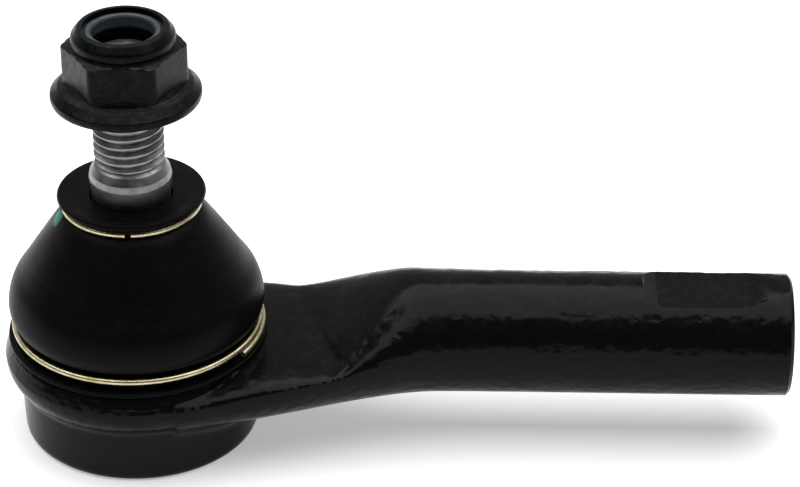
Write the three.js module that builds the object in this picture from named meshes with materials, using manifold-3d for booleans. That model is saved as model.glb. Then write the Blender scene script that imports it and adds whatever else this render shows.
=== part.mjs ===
// Outer tie rod end of a car's steering, as an assembly of its separate pieces.
//
// Frame: origin at the centre of the closed bottom face, +Z up the stud's axis, +X along the
// shank, from the ball socket towards the threaded end. Millimetres.
//
// The forged housing holds a ball between two plastic seats, pushed together by a preload
// washer and shut in by a cover plate under a rolled rim. The stud rises from the ball through
// a rubber boot held by two wire rings, and carries a flanged lock nut with a nylon insert.

import * as THREE from 'three';
import { mergeVertices } from 'three/addons/utils/BufferGeometryUtils.js';
import Module from 'manifold-3d';

const wasm = await Module();
wasm.setup();

// ---------------------------------------------------------------- driving dimensions

const GAP = 0.3;                 // clearance between pieces that touch on the real object

const BALL_RADIUS = 11;
const BALL_HEIGHT = 15.2;        // ball centre above the bottom face

const THREAD_MAJOR = 5.93;       // M12 x 1.5 male thread, crest radius
const THREAD_MINOR = 5.08;
const THREAD_PITCH = 1.5;
const THREAD_FOOT = 51.6;        // the thread runs out here into the shoulder flare
const STUD_TOP = 71.6;
const SHOULDER_RADIUS = 7;
const SHOULDER_HEIGHT = 48.8;
const NECK_RADIUS = 6;           // where the stud leaves the ball

const BAND_RADIUS = 23;          // widest line of the socket, its forging parting line
const BAND_HEIGHT = 15.4;
const BARREL_RADIUS = 20;        // machined lower barrel of the socket
const BARREL_TOP = 9.6;
const DECK_RADIUS = 21.9;        // flat deck round the boot's foot
const DECK_HEIGHT = 18;
const COLLAR_RADIUS = 17.4;      // collar that the boot's foot grips
const COLLAR_TOP = 24;

const CHAMBER_RADIUS = 15.6;     // bore that takes the ball seats, from below
const PLATE_RADIUS = 15.3;
const PLATE_THICKNESS = 1.5;
const RIM_THICKNESS = 1.7;       // rim of the housing rolled in under the plate
const RIM_BORE = 13.2;
const SEAT_HOLE = 7.4;           // hole in the lower seat, under the ball
const SEAT_FOOT = 5.4;
const SEAT_SPLIT = 0.2;          // half the gap between the two seats
const SEAT_SHOULDER = 18.8;      // from here up the chamber and the upper seat are tapered
const SEAT_TOP = 20.7;
const SEAT_MOUTH = 10.6;         // the upper seat's opening for the stud

const SHANK_RADIUS = 10.5;
const SHANK_HEIGHT = 18.6;       // shank axis above the bottom face
const SHANK_START = 51;          // the arm has become the round shank here
const ARM_START = 9;             // the arm begins here, inside the socket
const ARM_TAPER = 0.262;         // half-width the arm gains per millimetre towards the socket
const WAIST_START = 12;          // the arm's underside starts to rise here
const DECK_END = 27.5;           // the flat deck ends here and the ramp to the shank starts
const DECK_SQUARENESS = 4.5;     // power of the arm's upper outline; 2 is round
const BELLY_SQUARENESS = 2.6;    // the same for its lower outline
const SHANK_END = 112;
const SHANK_BORE = 6.35;         // M14 x 1.5 female thread, crest radius
const SHANK_BORE_DEPTH = 42;
const FLAT_START = 89;           // spanner flats, above and below
const FLAT_END = 104.5;
const FLAT_DEPTH = 1.7;

const BOOT_TOP = 45.2;
const BOOT_FOOT = 18.3;
const BOOT_THROAT = 8.1;         // bore of the lip, round the bush
const UPPER_RING_HEIGHT = 43.6;
const UPPER_RING_RADIUS = 11.35; // to the middle of the wire
const UPPER_WIRE = 0.55;         // wire radius
const UPPER_RING_SPAN = [-85, 270];  // degrees round the axis, leaving a gap at the front
const LOWER_RING_HEIGHT = 20.8;
const LOWER_RING_RADIUS = 21;
const LOWER_WIRE = 0.56;
const LOWER_RING_SPAN = [-29, 375];  // more than a turn: the ends lie side by side
const RING_OVERLAP = { hold: 50, fade: 110, spread: 0.5, drop: 1.1 };
const BUSH_RADIUS = 7.8;
const BUSH_SPAN = [41.8, 44.4];

const NUT_FOOT = 63.4;           // underside of the nut's flange
const FLANGE_RADIUS = 12.6;
const HEX_ACROSS_FLATS = 18.3;
const HEX_TOP = 73;
const NUT_COLLAR_RADIUS = 8.65;
const NUT_TOP = 76.6;
const NUT_BORE = 6.3;
const NUT_TURN = 33;             // degrees, how the hexagon is turned at rest
const INSERT_HOLE = 5.15;
const INSERT_FOOT = 73.2;
const INSERT_RECESS = [7.5, 72.9];   // radius and foot of the space for it in the collar

// ---------------------------------------------------------------- solids and booleans

function solidOf(geometry) {
  const bare = geometry.clone();
  bare.deleteAttribute('normal');
  bare.deleteAttribute('uv');
  const merged = mergeVertices(bare, 1e-4);
  return new wasm.Manifold(new wasm.Mesh({
    numProp: 3,
    vertProperties: new Float32Array(merged.attributes.position.array),
    triVerts: new Uint32Array(merged.index.array),
  }));
}

function geometryOf(solid) {
  const mesh = solid.getMesh();
  const geometry = new THREE.BufferGeometry();
  geometry.setAttribute('position', new THREE.BufferAttribute(mesh.vertProperties, 3));
  geometry.setIndex(new THREE.BufferAttribute(mesh.triVerts, 1));
  geometry.computeVertexNormals();
  return geometry;
}

// A solid of revolution about Z from [radius, height] pairs, in order up the outside. The
// outline starts and ends on the axis.
function turned(outline, segments = 32) {
  const points = outline.map(([radius, height]) => new THREE.Vector2(radius, height));
  return new THREE.LatheGeometry(points, segments).rotateX(Math.PI / 2);
}

// The same for a ring, whose outline closes on its first pair.
function turnedRing(outline, segments = 32) {
  return turned([...outline, outline[0]], segments);
}

// Points of an arc in the lathe's [radius, height] plane, angles in degrees.
function arc(centre, radius, from, to, steps) {
  const points = [];
  for (let i = 0; i <= steps; i += 1) {
    const angle = THREE.MathUtils.degToRad(from + ((to - from) * i) / steps);
    points.push([centre[0] + radius * Math.cos(angle), centre[1] + radius * Math.sin(angle)]);
  }
  return points;
}

// A closed skin over rings of points, each ring the same length, from the first to the last.
function lofted(rings) {
  const around = rings[0].length;
  const positions = rings.flat().flatMap((p) => [p.x, p.y, p.z]);
  const index = [];
  for (let i = 0; i < rings.length - 1; i += 1) {
    for (let j = 0; j < around; j += 1) {
      const next = (j + 1) % around;
      const [a, b] = [i * around + j, i * around + next];
      index.push(a, b, b + around, a, b + around, a + around);
    }
  }
  const caps = [[0, true], [rings.length - 1, false]];
  for (const [ring, first] of caps) {
    const centre = new THREE.Vector3();
    rings[ring].forEach((p) => centre.addScaledVector(p, 1 / around));
    const middle = positions.length / 3;
    positions.push(centre.x, centre.y, centre.z);
    for (let j = 0; j < around; j += 1) {
      const [a, b] = [ring * around + j, ring * around + ((j + 1) % around)];
      index.push(...(first ? [middle, b, a] : [middle, a, b]));
    }
  }
  const geometry = new THREE.BufferGeometry();
  geometry.setAttribute('position', new THREE.Float32BufferAttribute(positions, 3));
  geometry.setIndex(index);
  return geometry;
}

function smooth(from, to, value) {
  return THREE.MathUtils.smoothstep(value, from, to);
}

// ---------------------------------------------------------------- housing

// One cross-section of the arm or the shank, seen along X. Its upper half is squarer where the
// arm is a flat deck, and both halves are round along the shank.
function armSection(x) {
  const ramp = smooth(DECK_END, SHANK_START - 1, x);
  const waist = smooth(WAIST_START, SHANK_START, x);
  const top = THREE.MathUtils.lerp(DECK_HEIGHT, SHANK_HEIGHT + SHANK_RADIUS, ramp);
  const seam = THREE.MathUtils.lerp(BAND_HEIGHT, SHANK_HEIGHT, waist);
  const bottom = THREE.MathUtils.lerp(BARREL_TOP - 3, SHANK_HEIGHT - SHANK_RADIUS, waist);
  const left = SHANK_START - 1 - x;
  const width = SHANK_RADIUS + (ARM_TAPER * (left + Math.hypot(left, 4))) / 2;
  const upperPower = THREE.MathUtils.lerp(DECK_SQUARENESS, 2, ramp);
  const lowerPower = THREE.MathUtils.lerp(BELLY_SQUARENESS, 2, waist);
  const ring = [];
  const around = 32;
  for (let i = 0; i < around; i += 1) {
    const angle = (2 * Math.PI * i) / around;
    const [across, up] = [Math.cos(angle), Math.sin(angle)];
    const power = up > 0 ? upperPower : lowerPower;
    const y = width * Math.sign(across) * Math.abs(across) ** (2 / power);
    const reach = up > 0 ? top - seam : seam - bottom;
    ring.push(new THREE.Vector3(x, y, seam + reach * Math.sign(up) * Math.abs(up) ** (2 / power)));
  }
  return ring;
}

function armAndShank() {
  const stations = [];
  for (let x = ARM_START; x < SHANK_START + 4; x += 3) stations.push(x);
  stations.push(SHANK_END - 1);
  const rings = stations.map(armSection);
  const chamfered = armSection(SHANK_END).map((p) => {
    const inset = 1 - 1 / SHANK_RADIUS;
    return new THREE.Vector3(p.x, p.y * inset, SHANK_HEIGHT + (p.z - SHANK_HEIGHT) * inset);
  });
  return solidOf(lofted([...rings, chamfered]));
}

function socketBody() {
  return solidOf(turned([
    [0, 0],
    [BARREL_RADIUS - 0.9, 0],
    [BARREL_RADIUS - 0.2, 0.7],
    [BARREL_RADIUS, 1.5],
    [BARREL_RADIUS + 0.3, BARREL_TOP],
    [BARREL_RADIUS + 1, BARREL_TOP + 1.3],
    [BAND_RADIUS - 0.4, BAND_HEIGHT - 2.4],
    [BAND_RADIUS, BAND_HEIGHT - 0.4],
    [BAND_RADIUS - 0.2, BAND_HEIGHT + 0.4],
    [DECK_RADIUS + 0.4, DECK_HEIGHT - 0.6],
    [DECK_RADIUS - 0.8, DECK_HEIGHT],
    [COLLAR_RADIUS, DECK_HEIGHT],
    [COLLAR_RADIUS, COLLAR_TOP - 2],
    [COLLAR_RADIUS + 0.7, COLLAR_TOP - 1.4],
    [COLLAR_RADIUS + 0.7, COLLAR_TOP - 0.6],
    [COLLAR_RADIUS, COLLAR_TOP],
    [0, COLLAR_TOP],
  ], 44));
}

// Everything inside the socket: the plate's recess above the rolled rim, the bore for the ball
// seats and the flared mouth that lets the stud swing.
function socketHollow() {
  return solidOf(turned([
    [0, -1],
    [RIM_BORE, -1],
    [RIM_BORE, RIM_THICKNESS],
    [CHAMBER_RADIUS, RIM_THICKNESS],
    [CHAMBER_RADIUS, SEAT_SHOULDER + 0.2],
    [CHAMBER_RADIUS - 2, SEAT_TOP + 0.3],
    [11.6, SEAT_TOP + 0.3],
    [13.4, COLLAR_TOP + 1],
    [0, COLLAR_TOP + 1],
  ]));
}

function shankBore() {
  const bore = turned([
    [0, 0],
    [SHANK_BORE, 3],
    [SHANK_BORE, SHANK_BORE_DEPTH - 1],
    [SHANK_BORE + 1.2, SHANK_BORE_DEPTH + 0.2],
    [0, SHANK_BORE_DEPTH + 0.2],
  ], 24);
  bore.rotateY(Math.PI / 2).translate(SHANK_END - SHANK_BORE_DEPTH, 0, SHANK_HEIGHT);
  return solidOf(bore);
}

// The cutter for one spanner flat: it leaves a flat floor, a steep wall at the socket side and
// a long shallow run-out towards the shank's end.
function flatCutter(up) {
  const floor = SHANK_RADIUS - FLAT_DEPTH;
  const outline = new THREE.Shape([
    new THREE.Vector2(FLAT_START - 2.2, SHANK_RADIUS + 1),
    new THREE.Vector2(FLAT_START - 0.6, floor + 0.5),
    new THREE.Vector2(FLAT_START + 0.3, floor),
    new THREE.Vector2(FLAT_END - 3, floor),
    new THREE.Vector2(SHANK_END - 2, SHANK_RADIUS + 1),
  ]);
  const cutter = new THREE.ExtrudeGeometry(outline, { depth: 30, bevelEnabled: false });
  cutter.translate(0, 0, -15).rotateX(Math.PI / 2);
  if (!up) cutter.rotateX(Math.PI);
  return solidOf(cutter.translate(0, 0, SHANK_HEIGHT));
}

function housing() {
  const forging = socketBody().add(armAndShank());
  const bored = forging.subtract(socketHollow()).subtract(shankBore());
  return geometryOf(bored.subtract(flatCutter(true)).subtract(flatCutter(false)));
}

// ---------------------------------------------------------------- inside the socket

function coverPlate() {
  const floor = RIM_THICKNESS + GAP;
  return turned([
    [0, 0],
    [8, 0],
    [9, 0.5],
    [9.8, floor],
    [PLATE_RADIUS, floor],
    [PLATE_RADIUS, floor + PLATE_THICKNESS],
    [9, floor + PLATE_THICKNESS],
    [8, PLATE_THICKNESS],
    [0, PLATE_THICKNESS],
  ]);
}

// A shallow spring cone under the lower seat, standing on the cover plate.
function preloadWasher() {
  const foot = RIM_THICKNESS + GAP + PLATE_THICKNESS + 0.1;
  return turnedRing([
    [9.6, foot + 0.7],
    [14.8, foot],
    [14.8, foot + 0.5],
    [9.6, foot + 1.2],
  ]);
}

function sphereHeight(radius, sphere) {
  return Math.sqrt(sphere ** 2 - radius ** 2);
}

function lowerSeat() {
  const cup = BALL_RADIUS + GAP;
  const outer = CHAMBER_RADIUS - GAP;
  const start = THREE.MathUtils.radToDeg(Math.acos(SEAT_HOLE / cup));
  return turnedRing([
    [SEAT_HOLE, SEAT_FOOT],
    [outer, SEAT_FOOT],
    [outer, BALL_HEIGHT - SEAT_SPLIT],
    ...arc([0, BALL_HEIGHT], cup, -1, -start, 8),
  ]);
}

function upperSeat() {
  const cup = BALL_RADIUS + GAP;
  const outer = CHAMBER_RADIUS - GAP;
  return turnedRing([
    [outer, BALL_HEIGHT + SEAT_SPLIT],
    [outer, SEAT_SHOULDER],
    [outer - 1.9, SEAT_TOP],
    [SEAT_MOUTH, SEAT_TOP],
    ...arc([0, BALL_HEIGHT], cup, 25, 1, 6),
  ]);
}

// ---------------------------------------------------------------- ball stud

// A rod with a true helical thread. Each column of points is one step round the axis and is
// raised by its share of the pitch, so that the last column meets the first one pitch up.
function threadedRod(foot, top) {
  const columns = 16;
  const flank = 0.2;
  const profile = [
    [THREAD_MINOR, 0],
    [THREAD_MINOR, flank],
    [THREAD_MAJOR, 0.5 - flank / 4],
    [THREAD_MAJOR, 0.5 + flank],
  ];
  const turns = Math.ceil((top - foot) / THREAD_PITCH);
  const rows = turns * profile.length;
  const point = (column, row) => {
    const [radius, share] = profile[row % profile.length];
    const angle = (2 * Math.PI * column) / columns;
    const rise = Math.floor(row / profile.length) + share + column / columns;
    return [radius * Math.cos(angle), radius * Math.sin(angle), foot + rise * THREAD_PITCH];
  };
  const positions = [];
  for (let column = 0; column < columns; column += 1) {
    for (let row = 0; row <= rows + profile.length; row += 1) positions.push(...point(column, row));
  }
  const tall = rows + profile.length + 1;
  // Past the last column the surface joins the first column, one pitch higher.
  const at = (column, row) => (
    column < columns ? column * tall + row : row + profile.length
  );
  const index = [];
  for (let column = 0; column < columns; column += 1) {
    for (let row = 0; row < rows; row += 1) {
      const [a, b] = [at(column, row), at(column + 1, row)];
      index.push(a, b, b + 1, a, b + 1, a + 1);
    }
  }
  const ends = [[0, foot, true], [rows, foot + turns * THREAD_PITCH, false]];
  for (const [row, height, under] of ends) {
    const loop = [];
    for (let column = 0; column < columns; column += 1) loop.push(at(column, row));
    for (let step = profile.length; step > 0; step -= 1) loop.push(at(0, row + step));
    const middle = positions.length / 3;
    positions.push(0, 0, height + THREAD_PITCH);
    for (let i = 0; i < loop.length; i += 1) {
      const [a, b] = [loop[i], loop[(i + 1) % loop.length]];
      index.push(...(under ? [middle, b, a] : [middle, a, b]));
    }
  }
  const geometry = new THREE.BufferGeometry();
  geometry.setAttribute('position', new THREE.Float32BufferAttribute(positions, 3));
  geometry.setIndex(index);
  return solidOf(geometry);
}

function ballStud() {
  const leave = BALL_HEIGHT + sphereHeight(NECK_RADIUS, BALL_RADIUS);
  const neckAngle = THREE.MathUtils.radToDeg(Math.acos(NECK_RADIUS / BALL_RADIUS));
  const body = solidOf(turned([
    [0, BALL_HEIGHT - BALL_RADIUS],
    ...arc([0, BALL_HEIGHT], BALL_RADIUS, -80, neckAngle, 11),
    [NECK_RADIUS, leave + 3],
    [SHOULDER_RADIUS, 38],
    [SHOULDER_RADIUS, SHOULDER_HEIGHT - 0.3],
    [SHOULDER_RADIUS - 0.3, SHOULDER_HEIGHT],
    ...arc([SHOULDER_RADIUS - 0.3, THREAD_FOOT], THREAD_FOOT - SHOULDER_HEIGHT, 240, 180, 4)
      .map(([radius, height]) => [Math.max(radius, THREAD_MINOR), height]),
    [THREAD_MINOR - 0.2, THREAD_FOOT + 0.3],
    [0, THREAD_FOOT + 0.3],
  ]));
  const envelope = solidOf(turned([
    [0, THREAD_FOOT - 0.6],
    [THREAD_MINOR - 0.2, THREAD_FOOT - 0.6],
    [THREAD_MAJOR + 0.2, THREAD_FOOT + 0.6],
    [THREAD_MAJOR + 0.2, STUD_TOP - 1],
    [THREAD_MAJOR - 1, STUD_TOP],
    [0, STUD_TOP],
  ]));
  const rod = threadedRod(THREAD_FOOT - 2 * THREAD_PITCH, STUD_TOP + 2 * THREAD_PITCH);
  return geometryOf(body.add(rod.intersect(envelope)));
}

// ---------------------------------------------------------------- boot and its rings

// The boot as one turned wall: a foot bead in the housing's groove, the bellied bell, and the
// dished lip that closes on the stud.
function dustBoot() {
  const groove = LOWER_RING_RADIUS - LOWER_WIRE - 0.25;
  return turnedRing([
    [COLLAR_RADIUS + 1.1, BOOT_FOOT],
    [21.7, BOOT_FOOT],
    [21.7, BOOT_FOOT + 0.5],
    [groove, BOOT_FOOT + 0.7],
    [groove, LOWER_RING_HEIGHT + 0.8],
    [21.3, LOWER_RING_HEIGHT + 1.6],
    [21.9, 24],
    [21.8, 26.2],
    [20.8, 28.9],
    [19, 31.6],
    [16.6, 35.4],
    [14.2, 38.9],
    [12.1, 41.9],
    [10.5, UPPER_RING_HEIGHT - 0.9],
    [10.5, UPPER_RING_HEIGHT + 0.8],
    [12.4, BOOT_TOP - 0.5],
    [12.6, BOOT_TOP + 0.5],
    [11.9, BOOT_TOP + 0.6],
    [9.2, BOOT_TOP - 0.9],
    [BOOT_THROAT, BOOT_TOP - 1.4],
    [BOOT_THROAT, 41.6],
    [9.6, 41.2],
    [13, 37],
    [17.6, 31],
    [19.4, 28],
    [20.1, 25.4],
    [19.6, 23.6],
    [COLLAR_RADIUS + 1.1, 23],
  ]);
}

// A plastic bush inside the boot's lip, in which the stud turns.
function bootBush() {
  const [foot, top] = BUSH_SPAN;
  return turnedRing([
    [SHOULDER_RADIUS + GAP, foot],
    [BUSH_RADIUS, foot],
    [BUSH_RADIUS, top],
    [SHOULDER_RADIUS + GAP, top],
  ]);
}

// A wire sweep along a curve, with flat ends.
function wire(curve, radius, steps) {
  const section = new THREE.Shape().absarc(0, 0, radius, 0, 2 * Math.PI);
  return new THREE.ExtrudeGeometry(section, {
    steps,
    curveSegments: 4,
    bevelEnabled: false,
    extrudePath: curve,
  });
}

// A turn of wire from one angle to another (degrees). A strand that overlaps the other end
// starts lower and further out, and joins the plain circle once it is past it.
class WireRing extends THREE.Curve {
  constructor(radius, height, from, to, overlap = null) {
    super();
    Object.assign(this, { radius, height, from, to, overlap });
  }

  getPoint(t, target = new THREE.Vector3()) {
    const degrees = THREE.MathUtils.lerp(this.from, this.to, t);
    const angle = THREE.MathUtils.degToRad(degrees);
    let { radius, height } = this;
    if (this.overlap) {
      const apart = 1 - smooth(this.overlap.hold, this.overlap.fade, degrees - this.from);
      radius += this.overlap.spread * apart;
      height -= this.overlap.drop * apart;
    }
    return target.set(radius * Math.cos(angle), radius * Math.sin(angle), height);
  }
}

function upperRing() {
  const curve = new WireRing(UPPER_RING_RADIUS, UPPER_RING_HEIGHT, ...UPPER_RING_SPAN);
  return wire(curve, UPPER_WIRE, 40);
}

function lowerRing() {
  const [from, to] = LOWER_RING_SPAN;
  const curve = new WireRing(LOWER_RING_RADIUS, LOWER_RING_HEIGHT, from, to, RING_OVERLAP);
  return wire(curve, LOWER_WIRE, 52);
}

// ---------------------------------------------------------------- lock nut

function hexagonPrism(acrossFlats, foot, top) {
  const corner = acrossFlats / 2 / Math.cos(Math.PI / 6);
  const prism = new THREE.CylinderGeometry(corner, corner, top - foot, 6);
  prism.rotateX(Math.PI / 2).translate(0, 0, (foot + top) / 2);
  return solidOf(prism.rotateZ(THREE.MathUtils.degToRad(NUT_TURN)));
}

function lockNut() {
  const [recess, recessFoot] = INSERT_RECESS;
  const flange = solidOf(turned([
    [0, NUT_FOOT],
    [FLANGE_RADIUS - 0.5, NUT_FOOT],
    [FLANGE_RADIUS, NUT_FOOT + 0.5],
    [FLANGE_RADIUS, NUT_FOOT + 1.2],
    [FLANGE_RADIUS - 0.5, NUT_FOOT + 1.7],
    [11.2, NUT_FOOT + 2.6],
    [10.2, NUT_FOOT + 3.2],
    [9, NUT_FOOT + 3.5],
    [0, NUT_FOOT + 3.5],
  ]));
  const chamfer = solidOf(turned([
    [0, NUT_FOOT + 1],
    [12, NUT_FOOT + 1],
    [12, HEX_TOP - 2.2],
    [HEX_ACROSS_FLATS / 2 - 0.3, HEX_TOP],
    [0, HEX_TOP],
  ]));
  const collar = solidOf(turned([
    [0, HEX_TOP - 1],
    [NUT_COLLAR_RADIUS - 0.4, HEX_TOP - 1],
    [NUT_COLLAR_RADIUS - 0.4, HEX_TOP + 0.3],
    [NUT_COLLAR_RADIUS, HEX_TOP + 0.9],
    [NUT_COLLAR_RADIUS, NUT_TOP - 1.4],
    [NUT_COLLAR_RADIUS - 0.5, NUT_TOP - 0.5],
    [NUT_COLLAR_RADIUS - 1.4, NUT_TOP],
    [0, NUT_TOP],
  ]));
  const hollow = solidOf(turned([
    [0, NUT_FOOT - 1],
    [NUT_BORE + 1.4, NUT_FOOT - 1],
    [NUT_BORE, NUT_FOOT + 0.7],
    [NUT_BORE, recessFoot],
    [recess, recessFoot],
    [recess, NUT_TOP - 0.9],
    [6.6, NUT_TOP - 0.7],
    [6.6, NUT_TOP + 1],
    [0, NUT_TOP + 1],
  ]));
  const hexagon = hexagonPrism(HEX_ACROSS_FLATS, NUT_FOOT + 1.2, HEX_TOP).intersect(chamfer);
  return geometryOf(flange.add(hexagon).add(collar).subtract(hollow));
}

function nutInsert() {
  return turnedRing([
    [INSERT_HOLE + 0.5, INSERT_FOOT],
    [INSERT_RECESS[0] - GAP, INSERT_FOOT],
    [INSERT_RECESS[0] - GAP, NUT_TOP - 1.2],
    [6.2, NUT_TOP - 0.9],
    [6.2, NUT_TOP - 0.4],
    [INSERT_HOLE, NUT_TOP - 0.5],
    [INSERT_HOLE, INSERT_FOOT + 0.5],
  ]);
}

// ---------------------------------------------------------------- assembly

const finishes = {
  blackForging: { color: 0x17181a, roughness: 0.35, metalness: 0.3 },
  blackNut: { color: 0x2a2b2e, roughness: 0.45, metalness: 0.5 },
  steel: { color: 0x9a9c9e, roughness: 0.4, metalness: 0.9 },
  yellowWire: { color: 0xb5ab74, roughness: 0.35, metalness: 0.85 },
  springSteel: { color: 0x6c6e72, roughness: 0.4, metalness: 0.9 },
  platedSteel: { color: 0x9fa09a, roughness: 0.35, metalness: 0.85 },
  rubber: { color: 0x111112, roughness: 0.6, metalness: 0 },
  whitePlastic: { color: 0xe6e4da, roughness: 0.5, metalness: 0 },
  blackPlastic: { color: 0x202022, roughness: 0.5, metalness: 0 },
  nylon: { color: 0x9fb4b4, roughness: 0.5, metalness: 0 },
};

function piece(name, geometry, finish) {
  const mesh = new THREE.Mesh(geometry, new THREE.MeshStandardMaterial(finishes[finish]));
  mesh.name = name;
  return mesh;
}

const socketGroup = new THREE.Group().add(
  piece('housing', housing(), 'blackForging'),
  piece('cover_plate', coverPlate(), 'platedSteel'),
  piece('preload_washer', preloadWasher(), 'springSteel'),
  piece('lower_ball_seat', lowerSeat(), 'whitePlastic'),
  piece('upper_ball_seat', upperSeat(), 'whitePlastic'),
  piece('lower_boot_ring', lowerRing(), 'yellowWire'),
);

const bootGroup = new THREE.Group().add(
  piece('dust_boot', dustBoot(), 'rubber'),
  piece('boot_bush', bootBush(), 'blackPlastic'),
  piece('upper_boot_ring', upperRing(), 'yellowWire'),
);

const studGroup = new THREE.Group().add(
  piece('ball_stud', ballStud(), 'steel'),
  piece('lock_nut', lockNut(), 'blackNut'),
  piece('nut_insert', nutInsert(), 'nylon'),
);

const group = new THREE.Group().add(socketGroup, bootGroup, studGroup);

export default group;
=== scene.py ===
import math

import bmesh
import bpy
import numpy as np
from mathutils import Matrix, Vector, noise


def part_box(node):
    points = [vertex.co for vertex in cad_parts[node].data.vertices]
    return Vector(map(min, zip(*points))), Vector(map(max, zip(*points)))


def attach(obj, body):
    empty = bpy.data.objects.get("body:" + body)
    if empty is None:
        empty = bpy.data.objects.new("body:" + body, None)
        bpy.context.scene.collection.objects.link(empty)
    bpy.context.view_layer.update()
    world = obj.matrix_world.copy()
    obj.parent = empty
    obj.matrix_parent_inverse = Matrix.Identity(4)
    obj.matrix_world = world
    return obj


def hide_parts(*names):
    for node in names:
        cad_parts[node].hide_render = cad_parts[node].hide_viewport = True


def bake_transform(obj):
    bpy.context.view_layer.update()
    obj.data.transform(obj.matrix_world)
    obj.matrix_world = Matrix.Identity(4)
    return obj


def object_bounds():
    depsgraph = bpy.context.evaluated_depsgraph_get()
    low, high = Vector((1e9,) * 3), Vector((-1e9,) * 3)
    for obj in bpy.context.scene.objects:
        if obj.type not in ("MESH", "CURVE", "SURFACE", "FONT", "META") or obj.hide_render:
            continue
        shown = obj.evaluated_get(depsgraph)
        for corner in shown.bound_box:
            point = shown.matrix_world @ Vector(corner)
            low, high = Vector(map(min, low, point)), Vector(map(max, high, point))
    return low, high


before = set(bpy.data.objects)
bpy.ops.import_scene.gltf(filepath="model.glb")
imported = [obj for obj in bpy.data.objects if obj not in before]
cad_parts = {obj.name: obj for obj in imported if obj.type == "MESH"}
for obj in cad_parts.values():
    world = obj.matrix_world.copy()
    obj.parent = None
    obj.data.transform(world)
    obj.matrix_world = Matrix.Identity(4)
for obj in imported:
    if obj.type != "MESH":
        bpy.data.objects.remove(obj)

bl_info = {
    "name": "Tie Rod End",
    "version": (1, 0, 0),
    "blender": (4, 5, 0),
    "location": "View3D > Sidebar > Tie Rod End",
    "description": "Builds the visible pieces of an outer tie rod end round its fixed frame",
    "category": "Add Mesh",
}

MM = 0.001
CAD_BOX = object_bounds()


# ------------------------------------------------------------------ places taken from the frame

def node_span(node):
    """The largest radius about Z, the lowest and the highest level of a fixed node, in mm."""
    low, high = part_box(node)
    return (high.x - low.x) / 2 / MM, low.z / MM, high.z / MM


FLANGE_RADIUS, NUT_FOOT, NUT_TOP = node_span("lock_nut")
STUD_TOP = node_span("ball_stud")[2]
BALL_RADIUS, BALL_FOOT = node_span("ball_stud")[:2]
BALL_HEIGHT = BALL_FOOT + BALL_RADIUS
BOOT_FOOT, BOOT_TOP = node_span("dust_boot")[1:]
SHANK_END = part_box("housing")[1].x / MM
BAND_RADIUS = -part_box("housing")[0].x / MM
PLATE_RADIUS, PLATE_FOOT, PLATE_TOP = node_span("cover_plate")
RING_GAP_HEIGHT = sum(node_span("upper_boot_ring")[1:]) / 2

# Places that a shape and its finish both follow, in mm.
BARREL_TOP = 9.6
WAIST_START, WAIST_END = 12.0, 51.0
PARTING_RISE = 1.35
FLAT_START, FLAT_END, FLAT_DEPTH = 89.0, 104.5, 1.7
THREAD_FOOT = 51.6
THREAD_DEPTH = 0.85


# ------------------------------------------------------------------ settings

def length(name, description, default):
    """A length in mm, kept in metres as Blender does."""
    return bpy.props.FloatProperty(
        name=name, description=description, default=default * MM, unit="LENGTH", precision=4
    )


def colour(name, description, default):
    return bpy.props.FloatVectorProperty(
        name=name, description=description, default=default, subtype="COLOR", size=3, min=0, max=1
    )


def angle(name, description, degrees):
    return bpy.props.FloatProperty(
        name=name, description=description, default=math.radians(degrees), subtype="ANGLE"
    )


class TieRodSizes(bpy.types.PropertyGroup):
    """Sizes of the visible pieces that the frame does not give."""

    shank_radius: length("Shank Radius", "Radius of the round shank", 10.5)
    shank_height: length("Shank Height", "Height of the shank's axis above the bottom face", 18.6)
    barrel_radius: length("Barrel Radius", "Radius of the socket's lower barrel", 20.3)
    band_height: length("Band Height", "Height of the socket's widest line", 15.4)
    deck_height: length("Deck Height", "Height of the flat deck round the boot's foot", 18)
    thread_radius: length("Thread Radius", "Crest radius of the stud's thread", 5.93)
    thread_pitch: length("Thread Pitch", "Rise of both threads in one turn", 1.5)
    shoulder_radius: length("Shoulder Radius", "Radius of the stud below its thread", 7)
    shoulder_height: length("Shoulder Height", "Height of the shoulder's edge", 48.8)
    upper_ring_radius: length("Upper Ring Radius", "Middle radius of the upper wire ring", 11.35)
    upper_wire_radius: length("Upper Wire Radius", "Radius of the upper ring's wire", 0.55)
    lower_ring_radius: length("Lower Ring Radius", "Middle radius of the lower wire ring", 21)
    lower_ring_height: length("Lower Ring Height", "Height of the lower wire ring", 20.8)
    lower_wire_radius: length("Lower Wire Radius", "Radius of the lower ring's wire", 0.56)
    hexagon: length("Spanner Size", "Distance across the nut's flats", 18.3)
    nut_turn: angle("Nut Turn", "How far the nut is turned at rest", 33)


class TieRodColours(bpy.types.PropertyGroup):
    """Base colours of the finishes."""

    paint: colour("Paint", "Black dip paint on the forging", (0.003, 0.003, 0.0032))
    rubber: colour("Rubber", "Boot rubber", (0.0024, 0.0024, 0.0025))
    wire: colour("Wire", "Yellow passivated ring wire", (0.62, 0.58, 0.34))
    steel: colour("Steel", "Bare steel of the stud", (0.215, 0.215, 0.205))
    nut: colour("Nut", "Black phosphate on the nut", (0.0055, 0.0057, 0.0062))
    nylon: colour("Nylon", "Nylon insert of the nut", (0.036, 0.050, 0.056))
    mark: colour("Inspection Mark", "Dab of green paint on the boot", (0.01, 0.16, 0.11))
    floor: colour("Floor", "Studio floor", (0.75, 0.75, 0.75))


# ------------------------------------------------------------------ outlines and turned meshes

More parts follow.
